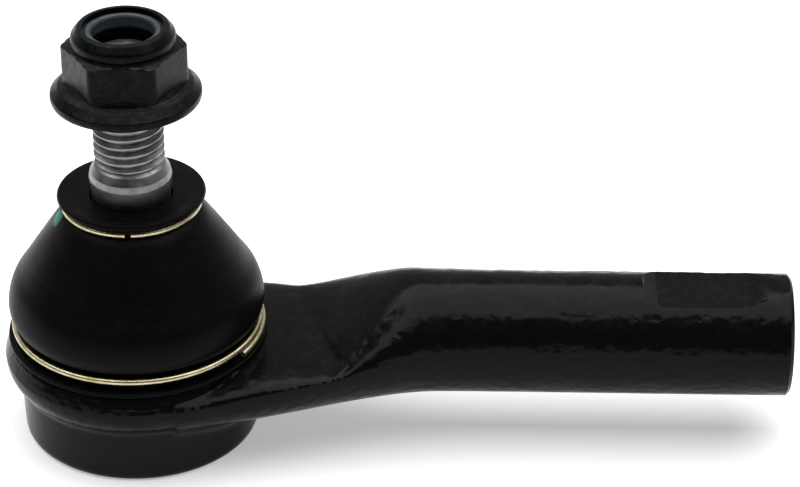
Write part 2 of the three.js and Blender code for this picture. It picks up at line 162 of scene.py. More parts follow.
def rounded(corners, steps=5):
    """An outline of (radius, height) or (radius, height, fillet) corners, its fillets as arcs."""
    corners = [tuple(c) + (0,) * (3 - len(c)) for c in corners]
    points = []
    for i, (radius, height, fillet) in enumerate(corners):
        here = np.array((radius, height), float)
        if not fillet or i in (0, len(corners) - 1):
            points.append(here)
            continue
        back = np.array(corners[i - 1][:2]) - here
        ahead = np.array(corners[i + 1][:2]) - here
        reach = min(np.linalg.norm(back), np.linalg.norm(ahead))
        back, ahead = back / np.linalg.norm(back), ahead / np.linalg.norm(ahead)
        half = math.acos(np.clip(back @ ahead, -1, 1)) / 2
        cut = min(fillet / max(math.tan(half), 1e-6), 0.48 * reach)
        for t in np.linspace(0, 1, steps + 1):
            points.append(here + back * cut * (1 - t) ** 2 + ahead * cut * t**2)
    return np.array(points)


def flowing(points, steps=8):
    """A smooth curve through the given points (a centripetal Catmull-Rom spline)."""
    p = np.array(points, float)
    p = np.vstack([2 * p[0] - p[1], p, 2 * p[-1] - p[-2]])
    knots = np.concatenate([[0], np.cumsum(np.linalg.norm(np.diff(p, axis=0), axis=1) ** 0.5)])
    found = []
    for i in range(1, len(p) - 2):
        for t in np.linspace(knots[i], knots[i + 1], steps, endpoint=False):
            a = [
                p[k] + (p[k + 1] - p[k]) * (t - knots[k]) / (knots[k + 1] - knots[k])
                for k in (i - 1, i, i + 1)
            ]
            b = []
            for k in (0, 1):
                first, last = knots[i - 1 + k], knots[i + 1 + k]
                b.append(a[k] + (a[k + 1] - a[k]) * (t - first) / (last - first))
            found.append(b[0] + (b[1] - b[0]) * (t - knots[i]) / (knots[i + 1] - knots[i]))
    return np.vstack([found, p[-2]])


def finer(outline, step):
    """The same outline with no stretch longer than step."""
    found = [outline[0]]
    for a, b in zip(outline[:-1], outline[1:]):
        count = max(1, math.ceil(np.linalg.norm(b - a) / step))
        found += [a + (b - a) * k / count for k in range(1, count + 1)]
    return np.array(found)


def mesh_object(name, points, faces, sharp=35):
    """A closed mesh with its doubles merged, facing outwards. Points are in mm."""
    mesh = bpy.data.meshes.new(name)
    mesh.from_pydata((np.asarray(points) * MM).tolist(), [], faces)
    bm = bmesh.new()
    bm.from_mesh(mesh)
    bmesh.ops.remove_doubles(bm, verts=bm.verts, dist=1e-6)
    bmesh.ops.dissolve_degenerate(bm, edges=bm.edges, dist=1e-7)
    bmesh.ops.recalc_face_normals(bm, faces=bm.faces)
    bm.to_mesh(mesh)
    bm.free()
    made = bpy.data.objects.new(name, mesh)
    bpy.context.scene.collection.objects.link(made)
    smooth_shade(made, sharp)
    return made


def smooth_shade(made, sharp=35):
    made.data.polygons.foreach_set("use_smooth", [True] * len(made.data.polygons))
    made.data.set_sharp_from_angle(angle=math.radians(sharp))


def revolve(name, outline, closed=False, segments=160, shape=None, axis="Z", sharp=35):
    """A solid of revolution about Z. An open outline starts and ends on the axis; a closed one
    is a ring's section. shape(angle, radius, height) may change the radius round the axis.
    With axis X it is laid along +X at the shank's height, its heights then being along X."""
    outline = np.asarray(outline, float)
    count = len(outline)
    turn = np.linspace(0, 2 * math.pi, segments, endpoint=False)[:, None]
    radius = np.broadcast_to(outline[:, 0], (segments, count))
    height = np.broadcast_to(outline[:, 1], (segments, count))
    if shape:
        radius = shape(turn, radius, height)
    points = np.stack([radius * np.cos(turn), radius * np.sin(turn), height], -1)
    if axis == "X":
        points = points[..., [2, 0, 1]] + [0, 0, sizes().shank_height / MM]
    faces = []
    for i in range(segments):
        here, there = i * count, (i + 1) % segments * count
        for j in range(count if closed else count - 1):
            k = (j + 1) % count
            faces.append((here + j, there + j, there + k, here + k))
    return mesh_object(name, points.reshape(-1, 3), faces, sharp)


def sizes():
    return bpy.context.scene.tie_rod_sizes


def colours():
    return bpy.context.scene.tie_rod_colours


def mm(name):
    return getattr(sizes(), name) / MM


def apply_modifiers(made):
    """The object's evaluated mesh takes the place of its modifiers."""
    depsgraph = bpy.context.evaluated_depsgraph_get()
    mesh = bpy.data.meshes.new_from_object(made.evaluated_get(depsgraph), depsgraph=depsgraph)
    made.modifiers.clear()
    made.data = mesh
    mesh.name = made.name
    return made


def carve(made, tool, operation="DIFFERENCE"):
    """Cuts, joins or keeps with a closed tool, which is used up."""
    modifier = made.modifiers.new("Carve", "BOOLEAN")
    modifier.operation = operation
    modifier.solver = "MANIFOLD"
    modifier.object = tool
    apply_modifiers(made)
    bpy.data.objects.remove(tool)
    if not made.data.polygons:
        raise RuntimeError(f"{made.name}: a cut left nothing")
    return made


def place(made, body, material, slot, *nodes):
    """Gives a finished piece its finish, its body and the fixed nodes that it stands for."""
    made.data.materials.clear()
    made.data.materials.append(material)
    made.data.polygons.foreach_set("material_index", [0] * len(made.data.polygons))
    if body:
        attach(made, body)
    if nodes:
        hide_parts(*nodes)
    return made


# ------------------------------------------------------------------ node trees

class Tree:
    """Adds nodes to a tree and joins them up."""

    def __init__(self, tree):
        self.tree = tree

    def add(self, kind, values=None, **settings):
        node = self.tree.nodes.new(kind)
        for name, value in settings.items():
            setattr(node, name, value)
        for name, value in (values or {}).items():
            self.feed(node.inputs[name], value)
        return node

    def feed(self, socket, value):
        if isinstance(value, bpy.types.NodeSocket):
            self.tree.links.new(value, socket)
        else:
            socket.default_value = value

    def math(self, operation, *values, clamp=False):
        node = self.add("ShaderNodeMath", operation=operation, use_clamp=clamp)
        for socket, value in zip(node.inputs, values):
            self.feed(socket, value)
        return node.outputs[0]

    def remap(self, value, low, high, to_low=0.0, to_high=1.0, kind="SMOOTHSTEP"):
        node = self.add("ShaderNodeMapRange", interpolation_type=kind)
        for socket, fed in zip(node.inputs, (value, low, high, to_low, to_high)):
            self.feed(socket, fed)
        return node.outputs[0]

    def noise(self, where, scale, detail, **values):
        fed = {"Vector": where, "Scale": scale, "Detail": detail, **values}
        return self.add("ShaderNodeTexNoise", fed).outputs[0]

    def height_of(self, vector):
        return self.add("ShaderNodeSeparateXYZ", {0: vector}).outputs["Z"]

    def scaled(self, vector, factor):
        node = self.add("ShaderNodeVectorMath", {0: vector}, operation="SCALE")
        node.inputs["Scale"].default_value = factor
        return node.outputs[0]

    def lay_round(self, geometry, radius, turn, height):
        """Moves a geometry's points to a radius, a turn about Z and a height, given in mm."""
        x = self.math("MULTIPLY", radius, self.math("COSINE", turn))
        y = self.math("MULTIPLY", radius, self.math("SINE", turn))
        where = self.add("ShaderNodeCombineXYZ", {"X": x, "Y": y, "Z": height}).outputs[0]
        fed = {"Geometry": geometry, "Position": self.scaled(where, MM)}
        return self.add("GeometryNodeSetPosition", fed).outputs[0]

    def mix(self, share, first, second):
        node = self.add("ShaderNodeMix", data_type="RGBA")
        self.feed(node.inputs[0], share)
        self.feed(node.inputs[6], first)
        self.feed(node.inputs[7], second)
        return node.outputs[2]


def new_group(name, kind, inputs, outputs):
    """A node group with named sockets: inputs are (name, type, default), outputs (name, type)."""
    tree = bpy.data.node_groups.new(name, kind)
    for label, socket_type, default in inputs:
        socket = tree.interface.new_socket(label, in_out="INPUT", socket_type=socket_type)
        if default is not None:
            socket.default_value = default
    for label, socket_type in outputs:
        tree.interface.new_socket(label, in_out="OUTPUT", socket_type=socket_type)
    made = Tree(tree)
    source = tree.nodes.new("NodeGroupInput")
    sink = tree.nodes.new("NodeGroupOutput")
    return made, source.outputs, sink.inputs


FLOAT = "NodeSocketFloat"
VECTOR = "NodeSocketVector"
COLOUR = "NodeSocketColor"
INTEGER = "NodeSocketInt"
GEOMETRY = "NodeSocketGeometry"
MATERIAL = "NodeSocketMaterial"


def grow(name, tree, values):
    """Runs a geometry tree by itself and bakes what it makes to a plain mesh object."""
    made = bpy.data.objects.new(name, bpy.data.meshes.new(name))
    bpy.context.scene.collection.objects.link(made)
    modifier = made.modifiers.new(name, "NODES")
    modifier.node_group = tree
    for item in tree.interface.items_tree:
        if item.in_out == "INPUT" and item.name in values:
            modifier[item.identifier] = values[item.name]
    apply_modifiers(made)
    if not made.data.polygons:
        raise RuntimeError(f"{name}: its node tree made nothing")
    return made


# ------------------------------------------------------------------ effects that finishes share

def patches_group():
    """Soft blotches, for a colour or a gloss that varies over a surface."""
    inputs = [("Position", VECTOR, None), ("Size", FLOAT, 5.0), ("Contrast", FLOAT, 0.2)]
    tree, given, out = new_group("Patches", "ShaderNodeTree", inputs, [("Mask", FLOAT)])
    blotches = tree.noise(given["Position"], tree.math("DIVIDE", 1.0, given["Size"]), 4.0)
    low = tree.math("SUBTRACT", 0.5, given["Contrast"])
    high = tree.math("ADD", 0.5, given["Contrast"])
    tree.feed(out["Mask"], tree.remap(blotches, low, high))
    return tree.tree


def forging_skin_group():
    """The pebbled skin of a forging: rounded grains, some of them raised, with fine pits."""
    inputs = [("Position", VECTOR, None), ("Grain", FLOAT, 1.4), ("Pits", FLOAT, 0.3)]
    outputs = [("Height", FLOAT), ("Pit Mask", FLOAT)]
    tree, given, out = new_group("Forging Skin", "ShaderNodeTree", inputs, outputs)
    scale = tree.math("DIVIDE", 1.0, given["Grain"])
    grains = tree.add(
        "ShaderNodeTexVoronoi",
        {"Vector": given["Position"], "Scale": scale, "Smoothness": 0.6, "Randomness": 1.0},
        feature="SMOOTH_F1",
    )
    flow = tree.noise(given["Position"], scale, 1.5, Roughness=0.5)
    pits = tree.noise(given["Position"], tree.math("MULTIPLY", scale, 3.7), 2.0)
    pit = tree.remap(pits, 0.60, 0.68)
    height = tree.math("MULTIPLY_ADD", grains.outputs["Distance"], -0.45, flow)
    deep = tree.math("MULTIPLY", pit, given["Pits"])
    tree.feed(out["Height"], tree.math("SUBTRACT", height, deep))
    tree.feed(out["Pit Mask"], pit)
    return tree.tree


def edge_wear_group():
    """Edges that have been rubbed, broken up by noise."""
    inputs = [("Position", VECTOR, None), ("Amount", FLOAT, 0.5)]
    tree, given, out = new_group("Edge Wear", "ShaderNodeTree", inputs, [("Mask", FLOAT)])
    edges = tree.add("ShaderNodeNewGeometry").outputs["Pointiness"]
    sharp = tree.remap(edges, 0.515, 0.60)
    broken = tree.remap(tree.noise(given["Position"], 0.9, 3.0), 0.35, 0.62)
    worn = tree.math("MULTIPLY", sharp, broken)
    tree.feed(out["Mask"], tree.math("MULTIPLY", worn, given["Amount"], clamp=True))
    return tree.tree


def scratches_group():
    """Fine hairlines that run along the stretched direction."""
    inputs = [("Position", VECTOR, None), ("Stretch", VECTOR, (1, 1, 1)), ("Amount", FLOAT, 0.5)]
    tree, given, out = new_group("Scratches", "ShaderNodeTree", inputs, [("Mask", FLOAT)])
    stretched = tree.add("ShaderNodeVectorMath", operation="MULTIPLY")
    tree.feed(stretched.inputs[0], given["Position"])
    tree.feed(stretched.inputs[1], given["Stretch"])
    streaks = tree.noise(stretched.outputs[0], 1.0, 2.0)
    off = tree.math("ABSOLUTE", tree.math("SUBTRACT", streaks, 0.5))
    line = tree.remap(off, 0.0, 0.012, 1.0, 0.0)
    tree.feed(out["Mask"], tree.math("MULTIPLY", line, given["Amount"]))
    return tree.tree


def dust_group():
    """Dust that has settled on what faces up."""
    inputs = [("Position", VECTOR, None), ("Amount", FLOAT, 0.3)]
    tree, given, out = new_group("Dust", "ShaderNodeTree", inputs, [("Mask", FLOAT)])
    up = tree.height_of(tree.add("ShaderNodeNewGeometry").outputs["Normal"])
    specks = tree.remap(tree.noise(given["Position"], 0.7, 6.0), 0.45, 0.75)
    settled = tree.math("MULTIPLY", tree.remap(up, 0.3, 1.0), specks)
    tree.feed(out["Mask"], tree.math("MULTIPLY", settled, given["Amount"]))
    return tree.tree


def turned_lines_group():
    """The fine rings that a lathe leaves, as a height, from how far along the cut a point is."""
    inputs = [("Along", FLOAT, 0.0), ("Pitch", FLOAT, 0.2)]
    tree, given, out = new_group("Turned Lines", "ShaderNodeTree", inputs, [("Height", FLOAT)])
    along = tree.math("DIVIDE", given["Along"], given["Pitch"])
    values = {"W": along, "Scale": 1.0, "Detail": 3.0}
    lines = tree.add("ShaderNodeTexNoise", values, noise_dimensions="1D")
    tree.feed(out["Height"], lines.outputs[0])
    return tree.tree


EFFECTS = {
    "Patches": patches_group,
    "Forging Skin": forging_skin_group,
    "Edge Wear": edge_wear_group,
    "Scratches": scratches_group,
    "Dust": dust_group,
    "Turned Lines": turned_lines_group,
}


FLOOR_GLOW = {"Emission Color": (1, 1, 1, 1), "Emission Strength": 0.4}
FAINT_GLOW = {"Subsurface Weight": 0.12, "Subsurface Radius": (0.001, 0.001, 0.001)}


class Finish:
    """A material whose colour, roughness and relief are built up from the shared effects."""

    def __init__(self, name, base, roughness, metallic=0.0, constants=None):
        self.material = bpy.data.materials.new(name)
        self.material.use_nodes = True
        self.tree = Tree(self.material.node_tree)
        self.shader = self.material.node_tree.nodes["Principled BSDF"]
        self.shader.inputs["Metallic"].default_value = metallic
        for label, value in (constants or {}).items():
            self.shader.inputs[label].default_value = value
        self.base = (*base, 1.0)
        self.roughness = roughness
        self.heights = []
        place_of = self.tree.add("ShaderNodeTexCoord").outputs["Object"]
        self.where = self.tree.scaled(place_of, 1 / MM)
        apart = self.tree.add("ShaderNodeSeparateXYZ", {0: self.where})
        self.x, self.y, self.z = apart.outputs

    def effect(self, label, **values):
        """Places a shared effect and gives its first output, or all of them if it has more."""
        node = self.tree.add("ShaderNodeGroup")
        node.node_tree = bpy.data.node_groups.get(label) or EFFECTS[label]()
        if "Position" in node.inputs:
            self.tree.feed(node.inputs["Position"], self.where)
        for name, value in values.items():
            self.tree.feed(node.inputs[name.replace("_", " ").title()], value)
        return node.outputs[0] if len(node.outputs) == 1 else node.outputs

    def patches(self, size, contrast):
        return self.effect("Patches", size=size, contrast=contrast)

    def scratches(self, across_x, across_y, across_z, amount):
        return self.effect("Scratches", stretch=(across_x, across_y, across_z), amount=amount)

    def turned(self, along, pitch, depth):
        self.relief(self.effect("Turned Lines", along=along, pitch=pitch), depth)

    def from_axis(self):
        """How far a point is from the Z axis."""
        flat = self.tree.math("MULTIPLY", self.x, self.x)
        return self.tree.math("SQRT", self.tree.math("MULTIPLY_ADD", self.y, self.y, flat))

    def tint(self, mask, colour):
        self.base = self.tree.mix(mask, self.base, (*colour, 1.0))

    def gloss(self, mask, change):
        self.roughness = self.tree.math("MULTIPLY_ADD", mask, change, self.roughness)

    def relief(self, height, depth):
        """Adds to the surface's relief: the height from 0 to 1 stands for depth in mm."""
        self.heights.append(self.tree.math("MULTIPLY", height, depth * MM))

    def done(self):
        self.tree.feed(self.shader.inputs["Base Color"], self.base)
        self.tree.feed(self.shader.inputs["Roughness"], self.roughness)
        if self.heights:
            total = self.heights[0]
            for height in self.heights[1:]:
                total = self.tree.math("ADD", total, height)
            values = {"Height": total, "Distance": 1.0, "Strength": 1.0}
            bump = self.tree.add("ShaderNodeBump", values)
            self.tree.feed(self.shader.inputs["Normal"], bump.outputs[0])
        return self.material


# ------------------------------------------------------------------ finishes

# Lighter paint for the barrel: painted light that stands in for the floor's reflection in its
# wall.
PAINTED_BARREL_LIGHT = (0.0075, 0.0075, 0.0078)
MARK_PLACE = (-12.4, -2.0, 41.5)
WIRE_DARK = (0.40, 0.37, 0.17)
WIRE_PINK = (0.66, 0.52, 0.44)
# Colour of the thread's roots: painted shade, darker where the roots lie in shadow.
THREAD_ROOT_SHADE = (0.13, 0.13, 0.115)
STEEL_BRIGHT = (0.30, 0.30, 0.31)


def as_forged(finish, above_barrel):
    """Where the skin was never machined: not on the barrel, the spanner flats or the end."""
    tree = finish.tree
    level = tree.math("ABSOLUTE", tree.math("SUBTRACT", finish.z, mm("shank_height")))
    floor = mm("shank_radius") - FLAT_DEPTH
    past_start = tree.remap(finish.x, FLAT_START - 0.4, FLAT_START)
    before_end = tree.remap(finish.x, FLAT_END - 3, FLAT_END, 1.0, 0.0)
    along_flat = tree.math("MULTIPLY", past_start, before_end)
    on_flat = tree.math("MULTIPLY", tree.remap(level, floor - 0.1, floor - 0.05), along_flat)
    rough = tree.math("MULTIPLY", above_barrel, tree.math("SUBTRACT", 1.0, on_flat))
    before_chamfer = tree.remap(finish.x, SHANK_END - 1.6, SHANK_END - 1.2, 1.0, 0.0)
    return tree.math("MULTIPLY", rough, before_chamfer)


def parting_line(finish):
    """The height at which the dies met, wandering a little, from the socket to the shank."""
    foot, head = mm("band_height") + 0.2, mm("shank_height") + PARTING_RISE
    level = finish.tree.remap(finish.x, WAIST_START, WAIST_END, foot, head)
    return finish.tree.math("MULTIPLY_ADD", finish.patches(2.5, 0.3), 0.3, level)


def black_forging():
    """Glossy black dip paint over a forging, smooth where the metal was machined first. Its
    barrel is painted lighter: a painted reflection of the floor.
    """
    finish = Finish("black_forging", colours().paint, 0.13, constants={"IOR": 1.17})
    tree = finish.tree
    skin, pits = finish.effect("Forging Skin", grain=1.2, pits=0.03)
    above_barrel = tree.remap(finish.z, BARREL_TOP, BARREL_TOP + 1.5)
    up = tree.height_of(tree.add("ShaderNodeNewGeometry").outputs["Normal"])
    pressed = tree.remap(up, 0.7, 0.85, 1.0, 0.2)
    rough = as_forged(finish, above_barrel)
    finish.relief(tree.math("MULTIPLY", skin, tree.math("MULTIPLY", rough, pressed)), 0.06)
    off_seam = tree.math("ABSOLUTE", tree.math("SUBTRACT", finish.z, parting_line(finish)))
    groove = tree.math("MULTIPLY", tree.remap(off_seam, 0.1, 0.6, 1.0, 0.0), rough)
    finish.relief(groove, -0.03)
    finish.relief(finish.patches(6.0, 0.25), 0.05)
    finish.gloss(finish.patches(3.0, 0.2), 0.1)
    finish.gloss(pits, 0.04)
    finish.gloss(finish.scratches(0.15, 1.6, 1.6, 0.5), 0.1)
    # Painted reflection: the barrel's paint is lighter where its glossy wall would mirror the
    # floor.
    finish.tint(tree.math("SUBTRACT", 1.0, above_barrel), PAINTED_BARREL_LIGHT)
    dust = finish.effect("Dust", amount=0.08)
    finish.tint(dust, (0.05, 0.05, 0.048))
    finish.gloss(dust, 0.3)
    finish.tint(finish.effect("Edge Wear", amount=0.1), (0.03, 0.03, 0.03))
    return finish.done()


def boot_rubber():
    """Satin moulded rubber with a dab of green inspection paint high on one side."""
    finish = Finish("boot_rubber", colours().rubber, 0.32, constants={"IOR": 1.13})
    tree = finish.tree
    finish.gloss(finish.patches(7.0, 0.25), 0.1)
    grain, _ = finish.effect("Forging Skin", grain=0.35, pits=0.0)
    finish.relief(grain, 0.012)
    finish.relief(finish.patches(9.0, 0.3), 0.05)
    finish.gloss(finish.scratches(0.5, 0.5, 2.0, 0.4), 0.12)
    dust = finish.effect("Dust", amount=0.12)
    finish.tint(dust, (0.03, 0.03, 0.028))
    finish.gloss(dust, 0.2)
    dab = tree.add("ShaderNodeVectorMath", {0: finish.where}, operation="DISTANCE")
    dab.inputs[1].default_value = MARK_PLACE
    ragged = tree.noise(finish.where, 0.8, 4.0)
    edge = tree.math("MULTIPLY_ADD", ragged, 2.2, dab.outputs["Value"])
    mark = tree.remap(edge, 2.4, 2.9, 1.0, 0.0)
    finish.tint(mark, colours().mark)
    finish.gloss(mark, -0.1)
    return finish.done()


def yellow_wire():
    """Round spring wire with a yellow passivated zinc coat, its drawn lines along the wire."""
    finish = Finish("yellow_wire", colours().wire, 0.24, metallic=1.0)
    finish.tint(finish.patches(1.6, 0.2), WIRE_DARK)
    pink = finish.tree.math("MULTIPLY", finish.patches(5.0, 0.12), 0.5)
    finish.tint(pink, WIRE_PINK)
    finish.turned(finish.from_axis(), 0.06, 0.01)
    finish.gloss(finish.patches(0.8, 0.2), 0.14)
    return finish.done()


def bare_steel():
    """Turned and rolled steel, its thread's roots darkened with painted shade and made duller."""
    finish = Finish("bare_steel", colours().steel, 0.3, metallic=1.0)
    tree = finish.tree
    radius = finish.from_axis()
    on_thread = tree.remap(finish.z, THREAD_FOOT - 0.4, THREAD_FOOT)
    crest = mm("thread_radius")
    in_root = tree.remap(radius, crest - 0.75, crest - 0.1, 1.0, 0.0)
    root_shade = tree.math("MULTIPLY", on_thread, in_root)
    # Painted shade: the thread's roots are darkened, and they are also made rougher.
    finish.tint(root_shade, THREAD_ROOT_SHADE)
    finish.gloss(root_shade, 0.18)
    finish.tint(finish.patches(2.5, 0.22), STEEL_BRIGHT)
    finish.gloss(finish.patches(1.2, 0.2), 0.12)
    finish.turned(finish.z, 0.12, 0.012)
    finish.gloss(finish.scratches(0.8, 0.8, 6.0, 0.5), 0.15)
    return finish.done()


def black_nut():
    """Black phosphate on steel, rubbed brighter along its edges."""
    finish = Finish("black_nut", colours().nut, 0.32, metallic=1.0)
    finish.tint(finish.patches(1.8, 0.2), (0.009, 0.0093, 0.010))
    finish.tint(finish.effect("Edge Wear", amount=0.35), (0.06, 0.062, 0.066))
    finish.gloss(finish.patches(0.9, 0.2), 0.14)
    grain, pits = finish.effect("Forging Skin", grain=0.5, pits=0.2)
    finish.relief(grain, 0.02)
    finish.gloss(pits, 0.1)
    finish.tint(finish.scratches(0.7, 0.7, 3.0, 0.2), (0.08, 0.08, 0.085))
    finish.tint(finish.effect("Dust", amount=0.1), (0.06, 0.06, 0.06))
    return finish.done()


def insert_nylon():
    """Pale nylon, faintly see-through, with moulding flow lines."""
    finish = Finish("insert_nylon", colours().nylon, 0.34, constants=FAINT_GLOW)
    finish.tint(finish.patches(1.5, 0.25), (0.024, 0.033, 0.038))
    finish.relief(finish.patches(0.7, 0.3), 0.01)
    finish.gloss(finish.scratches(1.0, 1.0, 5.0, 0.5), 0.12)
    return finish.done()


def plated_steel():
    """Pressed sheet with clear zinc plating, spangled and lightly scuffed."""
    finish = Finish("plated_steel", (0.42, 0.42, 0.40), 0.32, metallic=1.0)
    finish.tint(finish.patches(2.2, 0.25), (0.30, 0.29, 0.25))
    finish.gloss(finish.patches(1.1, 0.2), 0.15)
    finish.turned(finish.from_axis(), 0.35, 0.012)
    finish.gloss(finish.scratches(0.5, 2.5, 1.0, 0.6), 0.18)
    finish.tint(finish.effect("Edge Wear", amount=0.5), (0.55, 0.55, 0.54))
    return finish.done()


def spring_steel():
    """Blued spring strip, its heat colour uneven."""
    finish = Finish("spring_steel", (0.15, 0.16, 0.19), 0.3, metallic=1.0)
    finish.tint(finish.patches(3.0, 0.2), (0.20, 0.18, 0.15))
    finish.gloss(finish.patches(1.0, 0.2), 0.15)
    finish.turned(finish.from_axis(), 0.2, 0.01)
    return finish.done()


def seat_plastic():
    """White acetal with a film of grease that has run in patches."""
    finish = Finish("seat_plastic", (0.72, 0.71, 0.66), 0.35, constants=FAINT_GLOW)
    grease = finish.patches(4.0, 0.15)
    finish.tint(grease, (0.55, 0.47, 0.30))
    finish.gloss(grease, -0.2)
    finish.turned(finish.z, 0.5, 0.008)
    return finish.done()


def bush_plastic():
    """Black moulded plastic, polished where the stud turns in it."""
    finish = Finish("bush_plastic", (0.006, 0.006, 0.0065), 0.5)
    finish.gloss(finish.patches(2.0, 0.25), 0.15)
    finish.turned(finish.z, 0.3, 0.01)
    return finish.done()


def studio_floor():
    """Pale matt paper with a barely visible tooth."""
    finish = Finish("studio_floor", colours().floor, 0.85, constants=FLOOR_GLOW)
    finish.gloss(finish.patches(12.0, 0.3), 0.1)
    finish.relief(finish.patches(0.8, 0.3), 0.004)
    return finish.done()


# ------------------------------------------------------------------ housing

ARM_START = 9.0
DECK_END = 31.0
RAMP_END = 50.0
FOLD_SKEW = 0.27        # how far the ramp's fold is shifted along X for each mm across
FOLD_SOFTNESS = 0.12
ARM_TAPER = 0.262       # the arm's half-width gained for each mm towards the socket
ROUND_START = 27.0
ROUND_END = 48.0
EDGE_SQUARE = 2.2       # squareness of the arm's section: 2 is an ellipse
DECK_SQUARE = 3.3
BELLY_SQUARE = 2.6
SKIRT_SQUARE = 2.6
SHOULDER_DRAFT = 0.42
BARREL_DRAFT = 0.03
SKIN_STEP = 0.45
CHAMBER_RADIUS = 15.6
COLLAR_RADIUS = 17.4
COLLAR_LIP_RADIUS = 18.1
END_CHAMFER = 0.6
BORE_DEPTH = 42.0
BORE_RADIUS = 6.35
BORE_ROOT = 7.05


def smooth(low, high, value):
    share = np.clip((value - low) / (high - low), 0, 1)
    return share * share * (3 - 2 * share)


def lerp(first, second, share):
    return first + (second - first) * share


def joined(first, second, reach):
    """Two distances joined as one body, with a fillet of about reach where they meet."""
    share = np.clip(0.5 + 0.5 * (second - first) / reach, 0, 1)
    return lerp(second, first, share) - reach * share * (1 - share)


def met(first, second, reach):
    """What two distances share, its edge rounded by about reach."""
    return -joined(-first, -second, reach)


def oval_distance(across, up, width, rise, power):
    """Signed distance, measured towards the middle, to an oval that is squarer as power grows."""
    level = (np.abs(across / width) ** power + np.abs(up / rise) ** power) ** (1 / power)
    return np.hypot(across, up) * (1 - 1 / np.maximum(level, 1e-4))


def ramp_rise(x):
    """The share of the way up the ramp: a crisp start on the deck, a soft end on the shank."""
    part = np.clip((x - DECK_END) / (RAMP_END - DECK_END), 0, 1)
    return part + part**2 - part**3 - FOLD_SOFTNESS * part * (1 - part) ** 6


def arm_shape(x, y=0.0):
    """Half-width, seam, top, bottom and the squareness above and below the seam, all at x.

    The ramp's fold crosses the arm askew, so the top also needs the place across the arm.
    """
    along_ramp = x + FOLD_SKEW * y
    ramp = ramp_rise(along_ramp)
    waist = smooth(WAIST_START, WAIST_END, x)
    radius, axis = mm("shank_radius"), mm("shank_height")
    top = lerp(mm("deck_height"), axis + radius, ramp)
    seam = lerp(mm("band_height"), axis, waist)
    bottom = lerp(BARREL_TOP - 3, axis - radius, waist)
    left = WAIST_END - 1 - x
    width = radius + ARM_TAPER * (left + np.hypot(left, 4)) / 2
    square = lerp(EDGE_SQUARE, DECK_SQUARE, smooth(WAIST_START, ROUND_START - 2, x))
    square = lerp(square, 2, smooth(ROUND_START, ROUND_END, along_ramp))
    return width, seam, top, bottom, square, lerp(BELLY_SQUARE, 2, waist)


def arm_distance(points):
    x, y, z = points.T
    width, seam, top, bottom, upper, lower = arm_shape(np.clip(x, ARM_START, SHANK_END), y)
    up = z - seam
    rise = np.where(up > 0, top - seam, seam - bottom)
    side = oval_distance(y, up, width, rise, np.where(up > 0, upper, lower))
    return np.maximum(side, ARM_START - x)


def socket_distance(points):
    x, y, z = points.T
    radius = np.hypot(x, y)
    up = z - mm("band_height")
    shoulder = met(radius - BAND_RADIUS + SHOULDER_DRAFT * up, z - mm("deck_height"), 0.15)
    skirt = oval_distance(radius, up, BAND_RADIUS, mm("band_height") - 6.6, SKIRT_SQUARE)
    band = np.where(up > 0, shoulder, skirt)
    barrel = met(radius - mm("barrel_radius") - BARREL_DRAFT * z, -z, 1.6)
    barrel = np.maximum(barrel, z - mm("band_height"))
    return joined(band, barrel, 1.2)


def forging_distance(points):
    """Arm and socket as one body, with a wide fillet between their sides but none on the deck."""
    reach = lerp(2.8, 0.3, smooth(15.6, 17.4, points[:, 2]))
    return joined(arm_distance(points), socket_distance(points), reach)


def slope_of(field, points, step=0.05):
    """The direction in which a distance grows, by central differences."""
    found = np.empty_like(points)
    for axis in range(3):
        shift = np.zeros(3)
        shift[axis] = step
        found[:, axis] = field(points + shift) - field(points - shift)
    return found / (2 * step)


def settle(points, field, rounds=8):
    """Moves points on to the surface where the field is zero, and gives their normals too."""
    for _ in range(rounds):
        slope = slope_of(field, points)
        steep = np.maximum((slope**2).sum(1, keepdims=True), 0.05)
        points = points - field(points)[:, None] * slope / steep
    slope = slope_of(field, points)
    return points, slope / np.linalg.norm(slope, axis=1, keepdims=True)


def lumps(points, size, shift):
    """Smooth noise from -1 to 1 at the points, its bumps about size across."""
    return np.array([noise.noise(Vector(p) / size + Vector((shift, 0, 0))) for p in points])


def hammered(points, normals):
    """How high the skin's unevenness stands: least on the pressed deck and the top of the ramp,
    most along the sides, and none on the barrel."""
    x, y, z = points.T
    edge = lerp(0.7, 0.24, smooth(34, 50, x))
    sides = smooth(0, 0.12, np.abs(y) / arm_shape(x)[0] - edge)
    far_ramp = smooth(0, 2, y) * smooth(0.45, 0.65, normals[:, 2])
    sides = sides * (1 - far_ramp * (1 - smooth(46, 54, x)))
    broad = lerp(0.02, 0.07, sides) * lumps(points, 5.0, 11)
    fine = lerp(0.005, 0.075, sides) * lumps(points, 1.3, 47)
    return smooth(BARREL_TOP + 0.5, BARREL_TOP + 2.5, z) * (broad + fine)


def arm_blank():
    """A rough closed skin along the arm and the shank, past its end."""
    around = 48
    turn = np.linspace(0, 2 * math.pi, around, endpoint=False)
    stations = np.append(np.arange(ARM_START, SHANK_END, 3), SHANK_END + 2)
    points, faces = [], []
    for i, x in enumerate(stations):
        across = arm_shape(x)[0] * np.cos(turn)
        _, seam, top, bottom, _, _ = arm_shape(x, across)
        rise = np.where(np.sin(turn) > 0, top - seam, seam - bottom)
        ring = np.stack([np.full(around, x), across, seam + rise * np.sin(turn)], 1)
        points.append(ring)
        if i:
            here, there = (i - 1) * around, i * around
            for j in range(around):
                k = (j + 1) % around
                faces.append((here + j, here + k, there + k, there + j))
    last = (len(stations) - 1) * around
    faces.append(tuple(range(around)))
    faces.append(tuple(range(last, last + around)))
    return mesh_object("arm_blank", np.vstack(points), faces)


